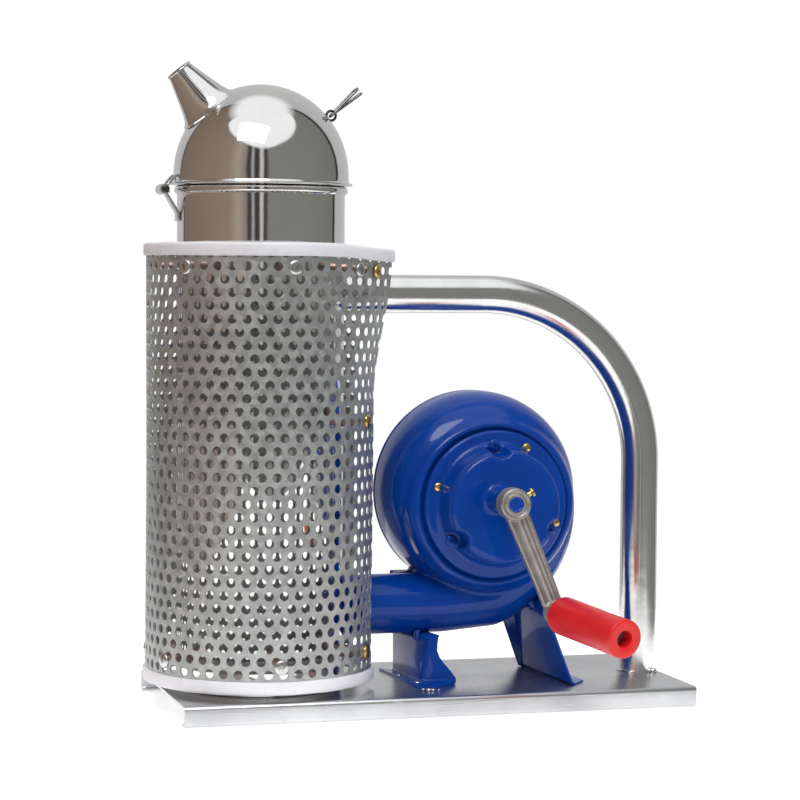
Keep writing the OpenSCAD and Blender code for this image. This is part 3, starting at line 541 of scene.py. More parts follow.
def settle(obj, name, body, slot, nodes=(), finish=None, angle=38):
    pick(obj)
    obj.name = name
    bpy.ops.object.transform_apply(location=True, rotation=True, scale=True)
    bpy.ops.object.shade_smooth_by_angle(angle=math.radians(angle))
    obj.data.materials.clear()
    obj.data.materials.append(finishes[finish or slot])
    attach(obj, body)
    if nodes:
        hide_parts(*nodes)
    print("piece", name, len(obj.data.polygons))
    return obj


def makeScrew(headRadius, headHeight, shankRadius, length):
    # a pan head with a cross recess, standing on z = 0
    drop = headHeight * 0.62
    head = [(0, headHeight)] + [
        (headRadius * math.sin(t), headHeight * 0.42 + headHeight * 0.58 * math.cos(t))
        for t in (math.radians(a) for a in (16, 32, 48, 64, 78, 90))]
    head += [(headRadius, 0.25), (headRadius - 0.2, 0), (shankRadius, 0), (shankRadius, -length), (0, -length)]
    screw = lathe("screw", head, Vector((0, 0, 0)), closed=False, steps=28)
    wide = headRadius * 0.58
    for turn in (0, 90):
        clearPick()
        bpy.ops.mesh.primitive_cube_add(size=1, location=(0, 0, headHeight * mm))
        bit = bpy.context.object
        bit.scale = (2 * wide * mm, headRadius * 0.26 * mm, 2 * drop * mm)
        bit.rotation_euler = (0, 0, math.radians(turn))
        bpy.ops.object.transform_apply(scale=True, rotation=True, location=True)
        bpy.ops.object.mode_set(mode="EDIT")
        bpy.ops.mesh.select_all(action="DESELECT")
        editDone()
        for vertex in bit.data.vertices:
            if vertex.co.z < headHeight * mm:
                vertex.co.x *= 0.45
                vertex.co.y *= 0.45
        cutWith(screw, bit)
    pick(screw)
    bpy.ops.object.transform_apply(location=True, rotation=True, scale=True)
    return screw

# ---------- base plate ----------

base = {"length": 337, "width": 150, "height": 13, "sheet": 1.5, "lip": 6, "bend": 2.5}


def makeBase():
    half = base["width"] / 2 - base["sheet"] / 2
    low = base["sheet"] / 2
    top = base["height"] - base["sheet"] / 2
    end = -base["length"] / 2
    rows = [(-half + base["lip"], low), (-half, low), (-half, top), (half, top), (half, low),
            (half - base["lip"], low)]
    sheet = plate("base", [at(end, y, z) for y, z in rows], Vector((base["length"] * mm, 0, 0)), closed=False)
    editAll(sheet)
    bpy.ops.mesh.normals_make_consistent(inside=False)
    editDone()
    soften(sheet, base["bend"] - 0.6, 6)
    modify(sheet, "SOLIDIFY", thickness=base["sheet"] * mm, offset=0)
    soften(sheet, 0.25, 2, 50)
    settle(sheet, "basePlate", "frame", "satin_stainless", ["base_plate"])


makeBase()


# ---------- handle tube ----------

tube = {"radius": 12.3, "wall": 1.2, "run": 265.5, "upright": 156.2, "bend": 111, "start": -53.2}


def makeTube():
    clearPick()
    foot = at(tube["upright"], 0, base["height"])
    bpy.ops.mesh.primitive_circle_add(vertices=72, radius=tube["radius"] * mm, location=foot)
    pipe = bpy.context.object
    bpy.ops.object.mode_set(mode="EDIT")
    bpy.ops.mesh.select_all(action="SELECT")
    rise = tube["run"] - tube["bend"] - base["height"]
    bpy.ops.mesh.extrude_region_move(TRANSFORM_OT_translate={"value": (0, 0, rise * mm)})
    corner = at(tube["upright"] - tube["bend"], 0, tube["run"] - tube["bend"])
    bpy.ops.mesh.spin(steps=48, angle=math.radians(90), center=corner, axis=(0, 1, 0))
    run = tube["upright"] - tube["bend"] - tube["start"]
    bpy.ops.mesh.extrude_region_move(TRANSFORM_OT_translate={"value": (-run * mm, 0, 0)})
    editDone()
    cleanUp(pipe)
    modify(pipe, "SOLIDIFY", thickness=tube["wall"] * mm, offset=-1)
    settle(pipe, "handleTube", "frame", "satin_stainless", ["handle_tube"], "tube")


def makeWelds():
    # an uneven bead round the foot of the tube
    beads = []
    for start, turn, thick in ((-118, 75, 1.5), (40, 110, 0.8), (165, 70, 0.8)):
        ring = arc(tube["radius"] + 0.2, 0.1, thick, 0, 330, 11)
        bead = lathe("bead", ring, at(tube["upright"], 0, base["height"]), steps=int(turn / 3), turn=turn, begin=start)
        beads.append(bead)
    clearPick()
    bpy.ops.mesh.primitive_uv_sphere_add(segments=20, ring_count=12, radius=2.6 * mm,
                                         location=at(tube["upright"] + 7, -11.6, base["height"] + 0.3))
    beads.append(bpy.context.object)
    bead = joinAll("bead", beads)
    bpy.ops.object.transform_apply(location=True, rotation=True, scale=True)
    for vertex in bead.data.vertices:
        shove = noise.noise_vector(vertex.co * 420) * 0.55 * mm
        vertex.co += Vector((shove.x, shove.y, shove.z * 0.8))
        vertex.co.z = max(vertex.co.z, (base["height"] - 0.6) * mm)
    modify(bead, "SUBSURF", levels=1, render_levels=1)
    settle(bead, "footWeld", "frame", "satin_stainless", finish="bright_steel", angle=80)


makeTube()
makeWelds()


# ---------- fire pot ----------

pot = {"x": -105, "radius": 53.6, "wall": 1.2, "rim": 334, "neck": 4.6, "bead": 1.9, "beadHeight": 6}
outlet = {"z": 63, "radius": 19.7, "wall": 3}


def makePot():
    outer, inner = pot["radius"], pot["radius"] - pot["wall"]
    floorTop = base["height"] + 1.5
    rim = pot["rim"]
    middle = rim - pot["beadHeight"] / 2
    profile = [(0, base["height"]), (outer - 1.5, base["height"]), (outer - 0.4, base["height"] + 0.5),
               (outer, base["height"] + 1.6), (outer, rim - pot["beadHeight"] - 0.6)]
    profile += arc(outer - 1.1, middle, 3, -68, 68, 10)
    profile += [(outer, rim + 0.5), (outer, rim + pot["neck"]), (inner, rim + pot["neck"]),
                (inner, middle), (inner, floorTop + 1.5), (inner - 0.5, floorTop + 0.4), (inner - 1.6, floorTop),
                (0, floorTop)]
    can = lathe("can", profile, at(pot["x"], 0, 0), closed=False, steps=144)
    clearPick()
    bpy.ops.mesh.primitive_cylinder_add(vertices=64, radius=(outlet["radius"] + 0.05) * mm, depth=60 * mm,
                                        location=at(pot["x"] + 55, 0, outlet["z"]), rotation=(0, math.pi / 2, 0))
    cutWith(can, bpy.context.object)
    settle(can, "firePot", "frame", "polished_stainless", ["fire_pot"], angle=50)


makePot()


# ---------- heat guard ----------

guard = {"radius": 72.5, "sheet": 1.0, "low": 19, "high": 296, "open": 19.1, "hole": 2.95, "pitch": 9.4,
         "waver": 0.45, "flareFrom": -70, "flareBase": 200, "flareTop": 292, "flare": 0.46, "dip": 3.2}
trim = {"wide": 4.4, "tall": 8.4, "over": 1.4}
topScrewAngles = [-142, -86, -47, 47, 94, 150]
lowScrewAngles = [-157, -92, 92, 157]
edgeScrewHeights = [38, 185.2, 282]
edgeScrewAngle = 34


def ease(value, low, high):
    share = min(1, max(0, (value - low) / (high - low)))
    return share * share * (3 - 2 * share)


def guardPoint(angle, radius, z):
    # where the sheet runs: not quite round, and opened out at the top of its front edge
    waver = guard["waver"] * (math.sin(math.radians(3 * angle + 40)) + 0.6 * math.sin(math.radians(7 * angle + z * 1.1)))
    radius += waver
    first = guard["flareFrom"]
    opened = guard["flare"] * ease(z, guard["flareBase"], guard["flareTop"])
    along = max(0.0, angle - first) if angle < 0 else 0.0
    if along > 0 and opened > 0.001:
        wide = radius / (1 - opened)
        a, b = math.radians(first), math.radians(first + along * radius / wide)
        x = radius * math.cos(a) + wide * (math.cos(b) - math.cos(a))
        y = radius * math.sin(a) + wide * (math.sin(b) - math.sin(a))
    else:
        x, y = radius * math.cos(math.radians(angle)), radius * math.sin(math.radians(angle))
    z -= guard["dip"] * ease(along, 0, 50) * ease(z, 250, 296)
    return at(pot["x"] + x, y, z)


def guardWay(angle, z):
    # the sheet's outward direction at an angle and a height
    here = guardPoint(angle, guard["radius"], z)
    return (guardPoint(angle, guard["radius"] + 2, z) - here).normalized()


def wrapRound(obj, radius):
    # flat sheet: x is the way round in mm, y its outward offset, z its height
    for vertex in obj.data.vertices:
        x, y, z = vertex.co / mm
        angle = math.degrees(x / radius)
        vertex.co = guardPoint(angle, radius, z) + guardWay(angle, z) * (y * mm)
    obj.data.update()
    return obj


def makeGuardSheet():
    clearPick()
    pitch, hole = guard["pitch"], guard["hole"]
    bpy.ops.mesh.primitive_circle_add(vertices=12, radius=hole * mm, rotation=(0, 0, 0))
    cell = bpy.context.object
    for vertex in cell.data.vertices:
        angle = round(math.degrees(math.atan2(vertex.co.y, vertex.co.x)) / 30) * 30
        vertex.co = Vector((math.cos(math.radians(angle)), math.sin(math.radians(angle)), 0)) * hole * mm
    bpy.ops.object.mode_set(mode="EDIT")
    bpy.ops.mesh.select_all(action="SELECT")
    grow = pitch / 2 / hole
    bpy.ops.mesh.extrude_region_move()
    bpy.ops.transform.resize(value=(grow, grow, 1), center_override=(0, 0, 0))
    editDone()
    for vertex in cell.data.vertices:
        reach = vertex.co.length / mm
        angle = round(math.degrees(math.atan2(vertex.co.y, vertex.co.x)) / 30) % 2
        if reach > hole + 0.5 and angle:
            vertex.co *= 2 / math.sqrt(3)
    twin = copyTo(cell, "twin", Matrix.Translation((pitch / 2 * mm, pitch * math.sqrt(0.75) * mm, 0)))
    sheet = joinAll("sheet", [cell, twin])
    length = math.radians(360 - 2 * guard["open"]) * guard["radius"]
    tall = guard["high"] - guard["low"]
    modify(sheet, "ARRAY", count=int(length / pitch) + 3, use_relative_offset=False, use_constant_offset=True,
           constant_offset_displace=(pitch * mm, 0, 0), use_merge_vertices=True, merge_threshold=1e-5)
    modify(sheet, "ARRAY", count=int(tall / pitch / math.sqrt(3)) + 3, use_relative_offset=False,
           use_constant_offset=True, constant_offset_displace=(0, pitch * math.sqrt(3) * mm, 0),
           use_merge_vertices=True, merge_threshold=1e-5)
    moveMesh(sheet, Matrix.Translation((-length / 2 * mm, -tall / 2 * mm, 0)) @ Matrix.Translation((-3 * mm, -5 * mm, 0)))
    editAll(sheet)
    bpy.ops.mesh.remove_doubles(threshold=1e-5)
    for point, normal in (((-length / 2, 0), (-1, 0)), ((length / 2, 0), (1, 0)), ((0, -tall / 2), (0, -1)),
                          ((0, tall / 2), (0, 1))):
        bpy.ops.mesh.select_all(action="SELECT")
        bpy.ops.mesh.bisect(plane_co=(point[0] * mm, point[1] * mm, 0), plane_no=(*normal, 0), clear_outer=True)
    editDone()
    moveMesh(sheet, Matrix.Rotation(math.pi / 2, 4, "X"))
    moveMesh(sheet, Matrix.Translation((math.radians(180) * guard["radius"] * mm, 0, (guard["low"] + tall / 2) * mm)))
    for vertex in sheet.data.vertices:  # the front half turns the other way round
        if vertex.co.x > math.pi * guard["radius"] * mm:
            vertex.co.x -= 2 * math.pi * guard["radius"] * mm
    wrapRound(sheet, guard["radius"])
    cleanUp(sheet)
    editAll(sheet)
    bpy.ops.mesh.normals_make_consistent(inside=False)
    editDone()
    modify(sheet, "SOLIDIFY", thickness=guard["sheet"] * mm, offset=0)
    settle(sheet, "heatGuard", "frame", "galvanised_sheet", ["heat_guard"], angle=40)


def makeTrim(name, node, edge, flip):
    # a folded strip with a rounded back, pushed over the edge of the sheet
    half = trim["wide"] / 2
    back = trim["over"]
    shape = [(-0.55, back - trim["tall"]), (-half + 0.6, back - trim["tall"]), (-half, back - trim["tall"] + 0.7)]
    shape += [(-x, z) for x, z in arc(0, back - half, half, 0, 180, 10)]
    shape += [(half, back - trim["tall"] + 0.7), (half - 0.6, back - trim["tall"]), (0.55, back - trim["tall"]),
              (0.55, back - 2.4), (-0.55, back - 2.4)]
    start = guard["open"] - 0.4
    steps = 150
    points = [Vector((math.radians(start) * guard["radius"], x, edge + flip * z)) * mm for x, z in shape]
    length = math.radians(360 - 2 * start) * guard["radius"] * mm
    strip = drawLine(name, points, closed=True)
    bpy.ops.mesh.select_all(action="SELECT")
    bpy.ops.mesh.extrude_region_move(TRANSFORM_OT_translate={"value": (length, 0, 0)})
    bpy.ops.mesh.select_all(action="SELECT")
    for i in range(1, steps):
        cut = points[0].x + length * i / steps
        bpy.ops.mesh.select_all(action="SELECT")
        bpy.ops.mesh.bisect(plane_co=(cut, 0, 0), plane_no=(1, 0, 0))
    editDone()
    pick(strip)
    bpy.ops.object.transform_apply(location=True)
    for vertex in strip.data.vertices:
        lump = noise.noise(vertex.co * 55) * 0.22 * mm
        vertex.co.z += flip * lump
        if vertex.co.x > math.pi * guard["radius"] * mm:
            vertex.co.x -= 2 * math.pi * guard["radius"] * mm
    wrapRound(strip, guard["radius"])
    cleanUp(strip)
    settle(strip, name, "frame", "white_edging", [node], angle=50)


def guardStations():
    # every screw of the guard as (angle, height)
    plain = [(a, 282) for a in topScrewAngles] + [(a, 35) for a in lowScrewAngles]
    edges = [(a, z) for a in (-edgeScrewAngle, edgeScrewAngle) for z in edgeScrewHeights]
    return plain, edges


def makeGuardScrews():
    screw = makeScrew(4.6, 2.4, 2, 6)
    plain, edges = guardStations()
    for name, node, slotName, stations in (("guardScrews", "guard_screws", "bright_steel", plain),
                                           ("edgeScrews", "edge_screws", "yellow_zinc", edges)):
        placed = []
        for i, (angle, z) in enumerate(stations):
            way = guardWay(angle, z)
            seat = guardPoint(angle, guard["radius"] + guard["sheet"] / 2, z)
            placed.append(copyTo(screw, "placed", standOn(seat, way, 25 + i * 37)))
        settle(joinAll(name, placed), name, "frame", slotName, [node], angle=30)
    bpy.data.objects.remove(screw, do_unlink=True)


def makeSpacers():
    plain, edges = guardStations()
    tubes = []
    for angle, z in plain + edges:
        way = guardWay(angle, z)
        outerEnd = guardPoint(angle, guard["radius"] - guard["sheet"] / 2, z)
        flat = Vector((math.cos(math.radians(angle)), math.sin(math.radians(angle)), 0))
        inner = at(pot["x"], 0, z) + flat * (pot["radius"] - 0.3) * mm
        long = (outerEnd - inner).length / mm
        profile = [(2.1, 0), (3.7, 0), (4, 0.3), (4, long - 0.3), (3.7, long), (2.1, long)]
        tubes.append(lathe("spacer", profile, inner, (outerEnd - inner).normalized(), steps=24))
    settle(joinAll("spacers", tubes), "guardSpacers", "frame", "bright_steel", ["guard_spacers"], "spacer")


finishes["spacer"] = makePlated("copperedSteel", (0.62, 0.45, 0.40), (0.36, 0.24, 0.21), 0.3)
makeGuardSheet()
makeTrim("guardTopTrim", "guard_top_trim", guard["high"], 1)
makeTrim("guardBottomTrim", "guard_bottom_trim", guard["low"], -1)
makeGuardScrews()
makeSpacers()


# ---------- lid, spout, hinge and lifting eye ----------

lid = {"radius": 56, "wall": 1.2, "centre": 340, "flangeLow": 334.3, "flangeOut": 58.4, "tall": 1.045}
spout = {"lean": -39, "root": 17.6, "tip": 7.5, "from": 54.3, "mouth": 86.5, "wall": 1.0}
hinge = {"x": -168.6, "z": 331, "pin": 2, "knuckle": 3.4, "sheet": 1.6}
lifter = {"lean": 49, "ring": 3.1, "wire": 0.85, "eye": 60.8, "length": 22}


def leaning(degrees):
    a = math.radians(degrees)
    return Vector((math.sin(a), 0, math.cos(a)))


domeMiddle = at(pot["x"], 0, lid["centre"])


def makeLid():
    outer, inner = lid["radius"], lid["radius"] - lid["wall"]
    low = lid["flangeLow"] - lid["centre"]
    tall = lid["tall"]
    profile = [(math.sin(math.radians(a)) * outer, math.cos(math.radians(a)) * outer * tall) for a in range(0, 90, 3)]
    profile += [(outer, 0), (outer, low + 2.6), (outer + 0.25, low + 1.7), (outer + 0.9, low + 1.3)]
    profile += [(lid["flangeOut"] + x, low + 0.65 + z) for x, z in arc(-0.6, 0, 0.65, 90, -90, 8)]
    profile += [(inner + 0.6, low), (inner, low + 0.6), (inner, 0)]
    profile += [(math.sin(math.radians(a)) * inner, math.cos(math.radians(a)) * inner * tall)
                for a in range(87, -1, -3)]
    dome = lathe("dome", profile, domeMiddle, closed=False, steps=144)
    way = leaning(spout["lean"])
    hole = lathe("hole", [(0, 30), (spout["root"] - 2.4, 30), (spout["root"] - 2.4, 80), (0, 80)], domeMiddle, way,
                 closed=False, steps=64)
    cutWith(dome, hole)
    settle(dome, "lidDome", "lid", "polished_stainless", ["lid_dome"], angle=50)


def makeSpout():
    way = leaning(spout["lean"])
    root, tip, start, end, wall = (spout[k] for k in ("root", "tip", "from", "mouth", "wall"))
    slope = (root - tip) / (end - start)
    profile = [(root + 2.4, start - 0.9), (root + 2.5, start + 0.05), (root + 1.5, start + 0.9),
               (root + 0.35, start + 1.8), (root - 0.55, start + 3.2)]
    for d in (8, 13, 18, 23, 27):
        profile.append((root - slope * d, start + d))
    profile += [(tip + 0.75 + x, end - 1.2 + z) for x, z in arc(-0.3, 0, 0.75, -60, 120, 8)]
    profile += [(tip - wall, end - 0.8), (tip - wall, end - 3)]
    for d in (27, 18, 8, 2):
        profile.append((root - slope * d - wall, start + d))
    profile.append((root - wall, start - 0.9))
    cone = lathe("cone", profile, domeMiddle, way, steps=96)
    settle(cone, "spoutCone", "lid", "polished_stainless", ["spout"], angle=50)


def strap(name, points, width, shift, thick):
    # a bent strip of sheet seen edge on along Y
    line = [at(x, shift - width / 2, z) for x, z in points]
    strip = plate(name, line, Vector((0, width * mm, 0)), closed=False)
    cleanUp(strip)
    modify(strip, "SOLIDIFY", thickness=thick * mm, offset=0)
    return soften(strip, 0.3, 2, 50)


def makeHinge():
    cx, cz, r = hinge["x"], hinge["z"], hinge["knuckle"] - hinge["sheet"] / 2
    potWall, lidWall = pot["x"] - pot["radius"], pot["x"] - lid["radius"]
    curl = arc(cx, cz, r, 300, 20, 20)
    leaf = strap("potLeaf", [(potWall - 0.7, 311), (potWall - 0.9, 316), (potWall - 2.2, 318.4)] + curl, 9.8, 0,
                 hinge["sheet"])
    settle(leaf, "potHingeLeaf", "frame", "polished_stainless", ["pot_hinge_leaf"])
    curl = arc(cx, cz, r, 60, 335, 20)
    sides = []
    for side in (-1, 1):
        sides.append(strap("lidLeaf", [(lidWall + 0.4, 340.2), (lidWall - 1.2, 338.9)] + curl,
                           3.3, side * 7, hinge["sheet"]))
    settle(joinAll("lidLeaf", sides), "lidHingeLeaf", "lid", "polished_stainless", ["lid_hinge_leaf"])
    rod = [(0, -10.6), (1.6, -10.6), (2.3, -10.2), (2.5, -9.6), (2.5, -9.1), (2, -9.05), (2, 9.05), (2.5, 9.1),
           (2.5, 9.6), (2.3, 10.2), (1.6, 10.6), (0, 10.6)]
    pin = lathe("pin", rod, at(cx, 0, cz), forward, closed=False, steps=32)
    settle(pin, "hingePin", "frame", "dark_steel", ["hinge_pin"], angle=30)


makeLid()
makeSpout()
makeHinge()


def wire(name, points, radius, closed=False, sides=3):
    # a round wire along a drawn line
    line = drawLine(name, points, closed)
    if closed:
        bpy.ops.mesh.delete(type="ONLY_FACE")
    editDone()
    pick(line)
    bpy.ops.object.transform_apply(location=True)
    bpy.ops.object.convert(target="CURVE")
    curve = bpy.context.object
    curve.data.bevel_depth = radius * mm
    curve.data.bevel_resolution = sides
    curve.data.use_fill_caps = True
    bpy.ops.object.convert(target="MESH")
    return cleanUp(bpy.context.object)


def makeLifter():
    way = leaning(lifter["lean"])
    eye = domeMiddle + way * lifter["eye"] * mm
    ring = lathe("ring", arc(lifter["ring"], 0, lifter["wire"], 0, 324, 9), eye, Vector((0, 1, 0)), steps=40)
    shank = [(0, 53), (1.2, 53), (1.2, 56.8), (2.7, 57.0), (2.7, 57.5), (1.4, 57.9), (1.2, 58.2), (0, 58.2)]
    stem = lathe("stem", shank, domeMiddle, way, closed=False, steps=24)
    settle(joinAll("eye", [ring, stem]), "liftEye", "lid", "dark_steel", ["handle_eye"])
    loops = []
    for half, step, spread in ((3.6, -0.9, -4.5), (1.8, 0.9, 4.5)):
        heading = leaning(lifter["lean"] + spread)
        start = eye + way * step * mm
        long = lifter["length"]
        path = arc(0, half, half, 180, 360, 14) + arc(0, long, half, 0, 180, 14)
        points = [start + Vector((0, y, 0)) * mm + heading * z * mm for y, z in path]
        loops.append(wire("loop", points, lifter["wire"], closed=True))
    settle(joinAll("wires", loops), "liftWires", "lid", "bright_steel", ["lift_handle"], "wire")


makeLifter()


# ---------- blower ----------

blower = {"x": 42, "z": 136, "radius": 66, "grow": 26.7, "bend": 1.3, "duct": -12.1, "front": 20, "back": -18,
          "wall": 3, "roundOver": 16}
fanAt, crankAt = (43.5, 130), (37.5, 135.3)
gearCover = {"rim": 48.2, "rimFront": 36, "top": 58, "plateau": 36.2, "notchRing": 39, "notch": 7.0, "floor": 40.2,
             "notches": (95, 215, 335), "screwRing": 41.6, "screws": (163, 62, -17), "boss": 7.35, "bossFront": 82}
backScrews = (20, 75, 130, 185, 325)


def ringPoint(centre, radius, angle, h):
    a = math.radians(angle)
    return at(centre[0] + radius * math.cos(a), -h, centre[1] + radius * math.sin(a))


def spiral(angle, wall):
    reach = blower["radius"] + blower["grow"] * (angle / 90) ** blower["bend"] - wall
    a = math.radians(angle)
    return blower["x"] + reach * math.cos(a), blower["z"] - reach * math.sin(a)


def scrollOutline(wall, depth):
    # outline of the housing seen from the front, moved in by the wall
    low, high = outlet["z"] - outlet["radius"] + wall, outlet["z"] + outlet["radius"] - wall
    radius = blower["radius"] - wall
    meet = 180 + math.degrees(math.asin((blower["z"] - high) / radius))
    points = [spiral(a, wall) for a in range(90, 0, -5)]
    points += arc(blower["x"], blower["z"], radius, 0, meet, 60)
    points += [(blower["duct"] + wall, high), (blower["duct"] + wall, low)]
    return [at(x, -depth, z) for x, z in points]


def slab(name, wall, back, front):
    return plate(name, scrollOutline(wall, back), Vector((0, (back - front) * mm, 0)))


def bar(name, centre, radius, back, front, steps=64):
    return lathe(name, [(0, back), (radius, back), (radius, front), (0, front)], at(centre[0], 0, centre[1]), forward,
                 closed=False, steps=steps)


def hornPath():
    # the middle of the round passage, from the pipe's mouth along the bottom and up the right side
    inset = outlet["radius"]
    points = [at(x, 0, outlet["z"]) for x in (-60.2, -40, -20, 0, 16)]
    turns = [spiral(angle, inset) for angle in range(84, -1, -6)]
    return points + [at(x, 0, z) for x, z in turns]


def makeHousing():
    body = slab("body", 0, blower["back"], -9)
    bowl = [(0, -16), (64.6, -16), (65.6, -12)]
    bowl += [(44 + 22 * math.cos(math.radians(a)), -6 + 35 * math.sin(math.radians(a))) for a in range(0, 91, 6)]
    bowl += [(0, 29)]
    drum = lathe("drum", bowl, at(blower["x"], 0, blower["z"]), forward, closed=False, steps=120)
    collar = [(0, 10), (59, 10), (57.6, 24), (56.0, 27.8), (54.4, 30.2), (53.2, 31.6), (52.3, 32.7), (51.4, 33.1),
              (50.4, 32.9), (49.7, 32.0), (49.4, 30), (0, 30)]
    neck = lathe("neck", collar, at(fanAt[0], 0, fanAt[1]), forward, closed=False, steps=120)
    horn = wire("horn", hornPath(), outlet["radius"], sides=14)
    housing = joinAll("housing", [body, drum, neck, horn])
    bpy.ops.object.transform_apply(location=True, rotation=True, scale=True)
    remesh(housing, 1.3, 14, 0.6)
    hollow = [(0, -22), (62, -22), (62, -6), (60, 3), (56, 11), (50, 17), (0, 18)]
    cutWith(housing, lathe("hollow", hollow, at(blower["x"], 0, blower["z"]), forward, closed=False, steps=72))
    cutWith(housing, wire("passage", [hornPath()[0] + at(-9, 0, 0) - at(0, 0, 0)] + hornPath(),
                          outlet["radius"] - outlet["wall"], sides=10))
    cutWith(housing, bar("gearbox", fanAt, 42, 24, 40))
    rearCut = slab("rearCut", -9, blower["back"] - 12, blower["back"])
    cutWith(housing, rearCut)
    settle(housing, "blowerHousing", "frame", "blue_enamel", ["blower_housing", "outlet_pipe"], angle=55)


def makeGearCover():
    rim, top, plateau = gearCover["rim"], gearCover["top"], gearCover["plateau"]
    outer = [(0, top), (plateau - 3.6, top), (plateau - 1.4, top - 0.6), (plateau + 0.1, top - 2.2),
             (plateau + 1.0, top - 6), (plateau + 1.7, 46), (plateau + 2.4, 41), (plateau + 3.4, 38.6),
             (plateau + 5.4, 37.4), (rim - 1.4, 36.4), (rim - 0.3, 35.6), (rim, 34.4), (rim, 33)]
    inner = [(42, 33), (41, 35.4), (plateau + 0.4, 37), (plateau - 0.6, 46), (plateau - 1.6, 52),
             (plateau - 3.4, 55.5), (0, 55.5)]
    centre = at(fanAt[0], 0, fanAt[1])
    shell = lathe("shell", outer + inner, centre, forward, closed=False, steps=96)
    cutter = [(0, gearCover["floor"]), (5.8, gearCover["floor"]), (gearCover["notch"], gearCover["floor"] + 1.4),
              (gearCover["notch"] + 0.2, 54), (gearCover["notch"] + 1.2, 58.6), (gearCover["notch"] + 1.2, 64), (0, 64)]
    parts = [shell]
    for turn in gearCover["notches"]:
        place = ringPoint(fanAt, gearCover["notchRing"], turn, 0)
        cutWith(shell, lathe("cutter", cutter, place, forward, closed=False, steps=40))
        cup = lathe("cup", [(0, 37), (9.4, 37), (9.4, 57.6), (0, 57.6)], place, forward, closed=False, steps=40)
        solid = lathe("solid", outer + [(0, 33)], centre, forward, closed=False, steps=96)
        cutWith(cup, solid, "INTERSECT")
        cutWith(cup, lathe("cutter", cutter, place, forward, closed=False, steps=40))
        parts.append(cup)
    boss = gearCover["boss"]
    nose = [(0, 55.8), (12, 55.8), (11.5, 57.7), (9.4, 58.6), (8.0, 60.2), (boss + 0.15, 63), (boss, 66), (boss, 80.9),
            (boss - 0.4, 81.7), (boss - 1.2, 82), (0, 82)]
    parts.append(lathe("nose", nose, at(crankAt[0], 0, crankAt[1]), forward, closed=False, steps=48))
    cover = joinAll("cover", parts)
    bpy.ops.object.transform_apply(location=True, rotation=True, scale=True)
    remesh(cover, 0.75, 5, 0.6)
    cutWith(cover, bar("shaftHole", crankAt, 5.1, 50, 90))
    settle(cover, "gearCover", "frame", "blue_enamel", ["gear_cover"], angle=55)


def makeBlowerScrews():
    brassScrew = makeScrew(2.9, 2.2, 1.5, 5)
    placed = [copyTo(brassScrew, "placed", standOn(ringPoint(fanAt, gearCover["screwRing"], a, 37.3), forward, a))
              for a in gearCover["screws"]]
    settle(joinAll("rimScrews", placed), "rimScrews", "frame", "yellow_zinc", ["rim_screws"], angle=30)
    placed = [copyTo(brassScrew, "placed", standOn(ringPoint((blower["x"], blower["z"]), 61, a, -21), -forward, a * 2))
              for a in backScrews]
    settle(joinAll("backScrews", placed), "backScrews", "frame", "yellow_zinc", ["back_cover_screws"], angle=30)
    setScrew = copyTo(brassScrew, "setScrew", Matrix.Scale(1.05, 4))
    way = Vector((math.cos(math.radians(30)), 0, math.sin(math.radians(30))))
    moveMesh(setScrew, standOn(at(crankAt[0], -88.5, crankAt[1]) + way * 13.2 * mm, way, 20))
    settle(setScrew, "crankSetScrew", "crank", "yellow_zinc", ["crank_set_screw"], angle=30)
    bpy.data.objects.remove(brassScrew, do_unlink=True)
    bolt = makeScrew(3.9, 2.5, 2, 6)
    placed = [copyTo(bolt, "placed", standOn(ringPoint(fanAt, gearCover["notchRing"], a, 40.3), forward, a + 15))
              for a in gearCover["notches"]]
    settle(joinAll("coverBolts", placed), "coverBolts", "frame", "blue_enamel", ["cover_bolts"], angle=30)
    bpy.data.objects.remove(bolt, do_unlink=True)


def makeBackCover():
    cover = slab("cover", 0.2, blower["back"] - 3, blower["back"])
    soften(cover, 0.8, 3, 60)
    cutWith(cover, bar("intake", fanAt, 24, -30, 0))
    ring = lathe("ring", [(24, -18.2), (24, -21.6), (24.8, -22.4), (26.2, -22.4), (27.2, -21.4), (28.4, -20.8), (28.4, -18.2)],
                 at(fanAt[0], 0, fanAt[1]), forward, steps=96)
    parts = [cover, ring]
    for turn in (0, 90):
        clearPick()
        bpy.ops.mesh.primitive_cube_add(size=1, location=at(fanAt[0], 19.5, fanAt[1]))
        spoke = bpy.context.object
        spoke.scale = (49.5 * mm, 2.4 * mm, 4 * mm)
        spoke.rotation_euler = (0, math.radians(turn + 45), 0)
        bpy.ops.object.transform_apply(scale=True, rotation=True, location=True)
        parts.append(soften(spoke, 0.7, 3))
    hub = [(0, -18.1), (7, -18.1), (7, -20.6), (6.2, -21.4), (0, -21.6)]
    parts.append(lathe("hub", hub, at(fanAt[0], 0, fanAt[1]), forward, closed=False, steps=40))
    settle(joinAll("backCover", parts), "backCover", "frame", "blue_enamel", ["blower_back_cover"], angle=40)


makeHousing()
makeGearCover()
makeBackCover()
makeBlowerScrews()


# ---------- crank and grip ----------

crank = {"hub": 10.1, "back": 82.5, "front": 94.5, "angle": -68.6, "reach": 73.7, "tilt": 6, "wideHub": 15,
         "wideEnd": 12, "thick": 6, "shaft": 5}
gripAt = {"x": 64.391, "y": -101, "z": 66.681, "splay": 13.3, "drop": 5.2, "radius": 12, "length": 72, "gap": 0.6,
          "hole": 5.1, "deep": 12}
gripWay = Vector((0.22910, -0.96917, -0.09063)).normalized()


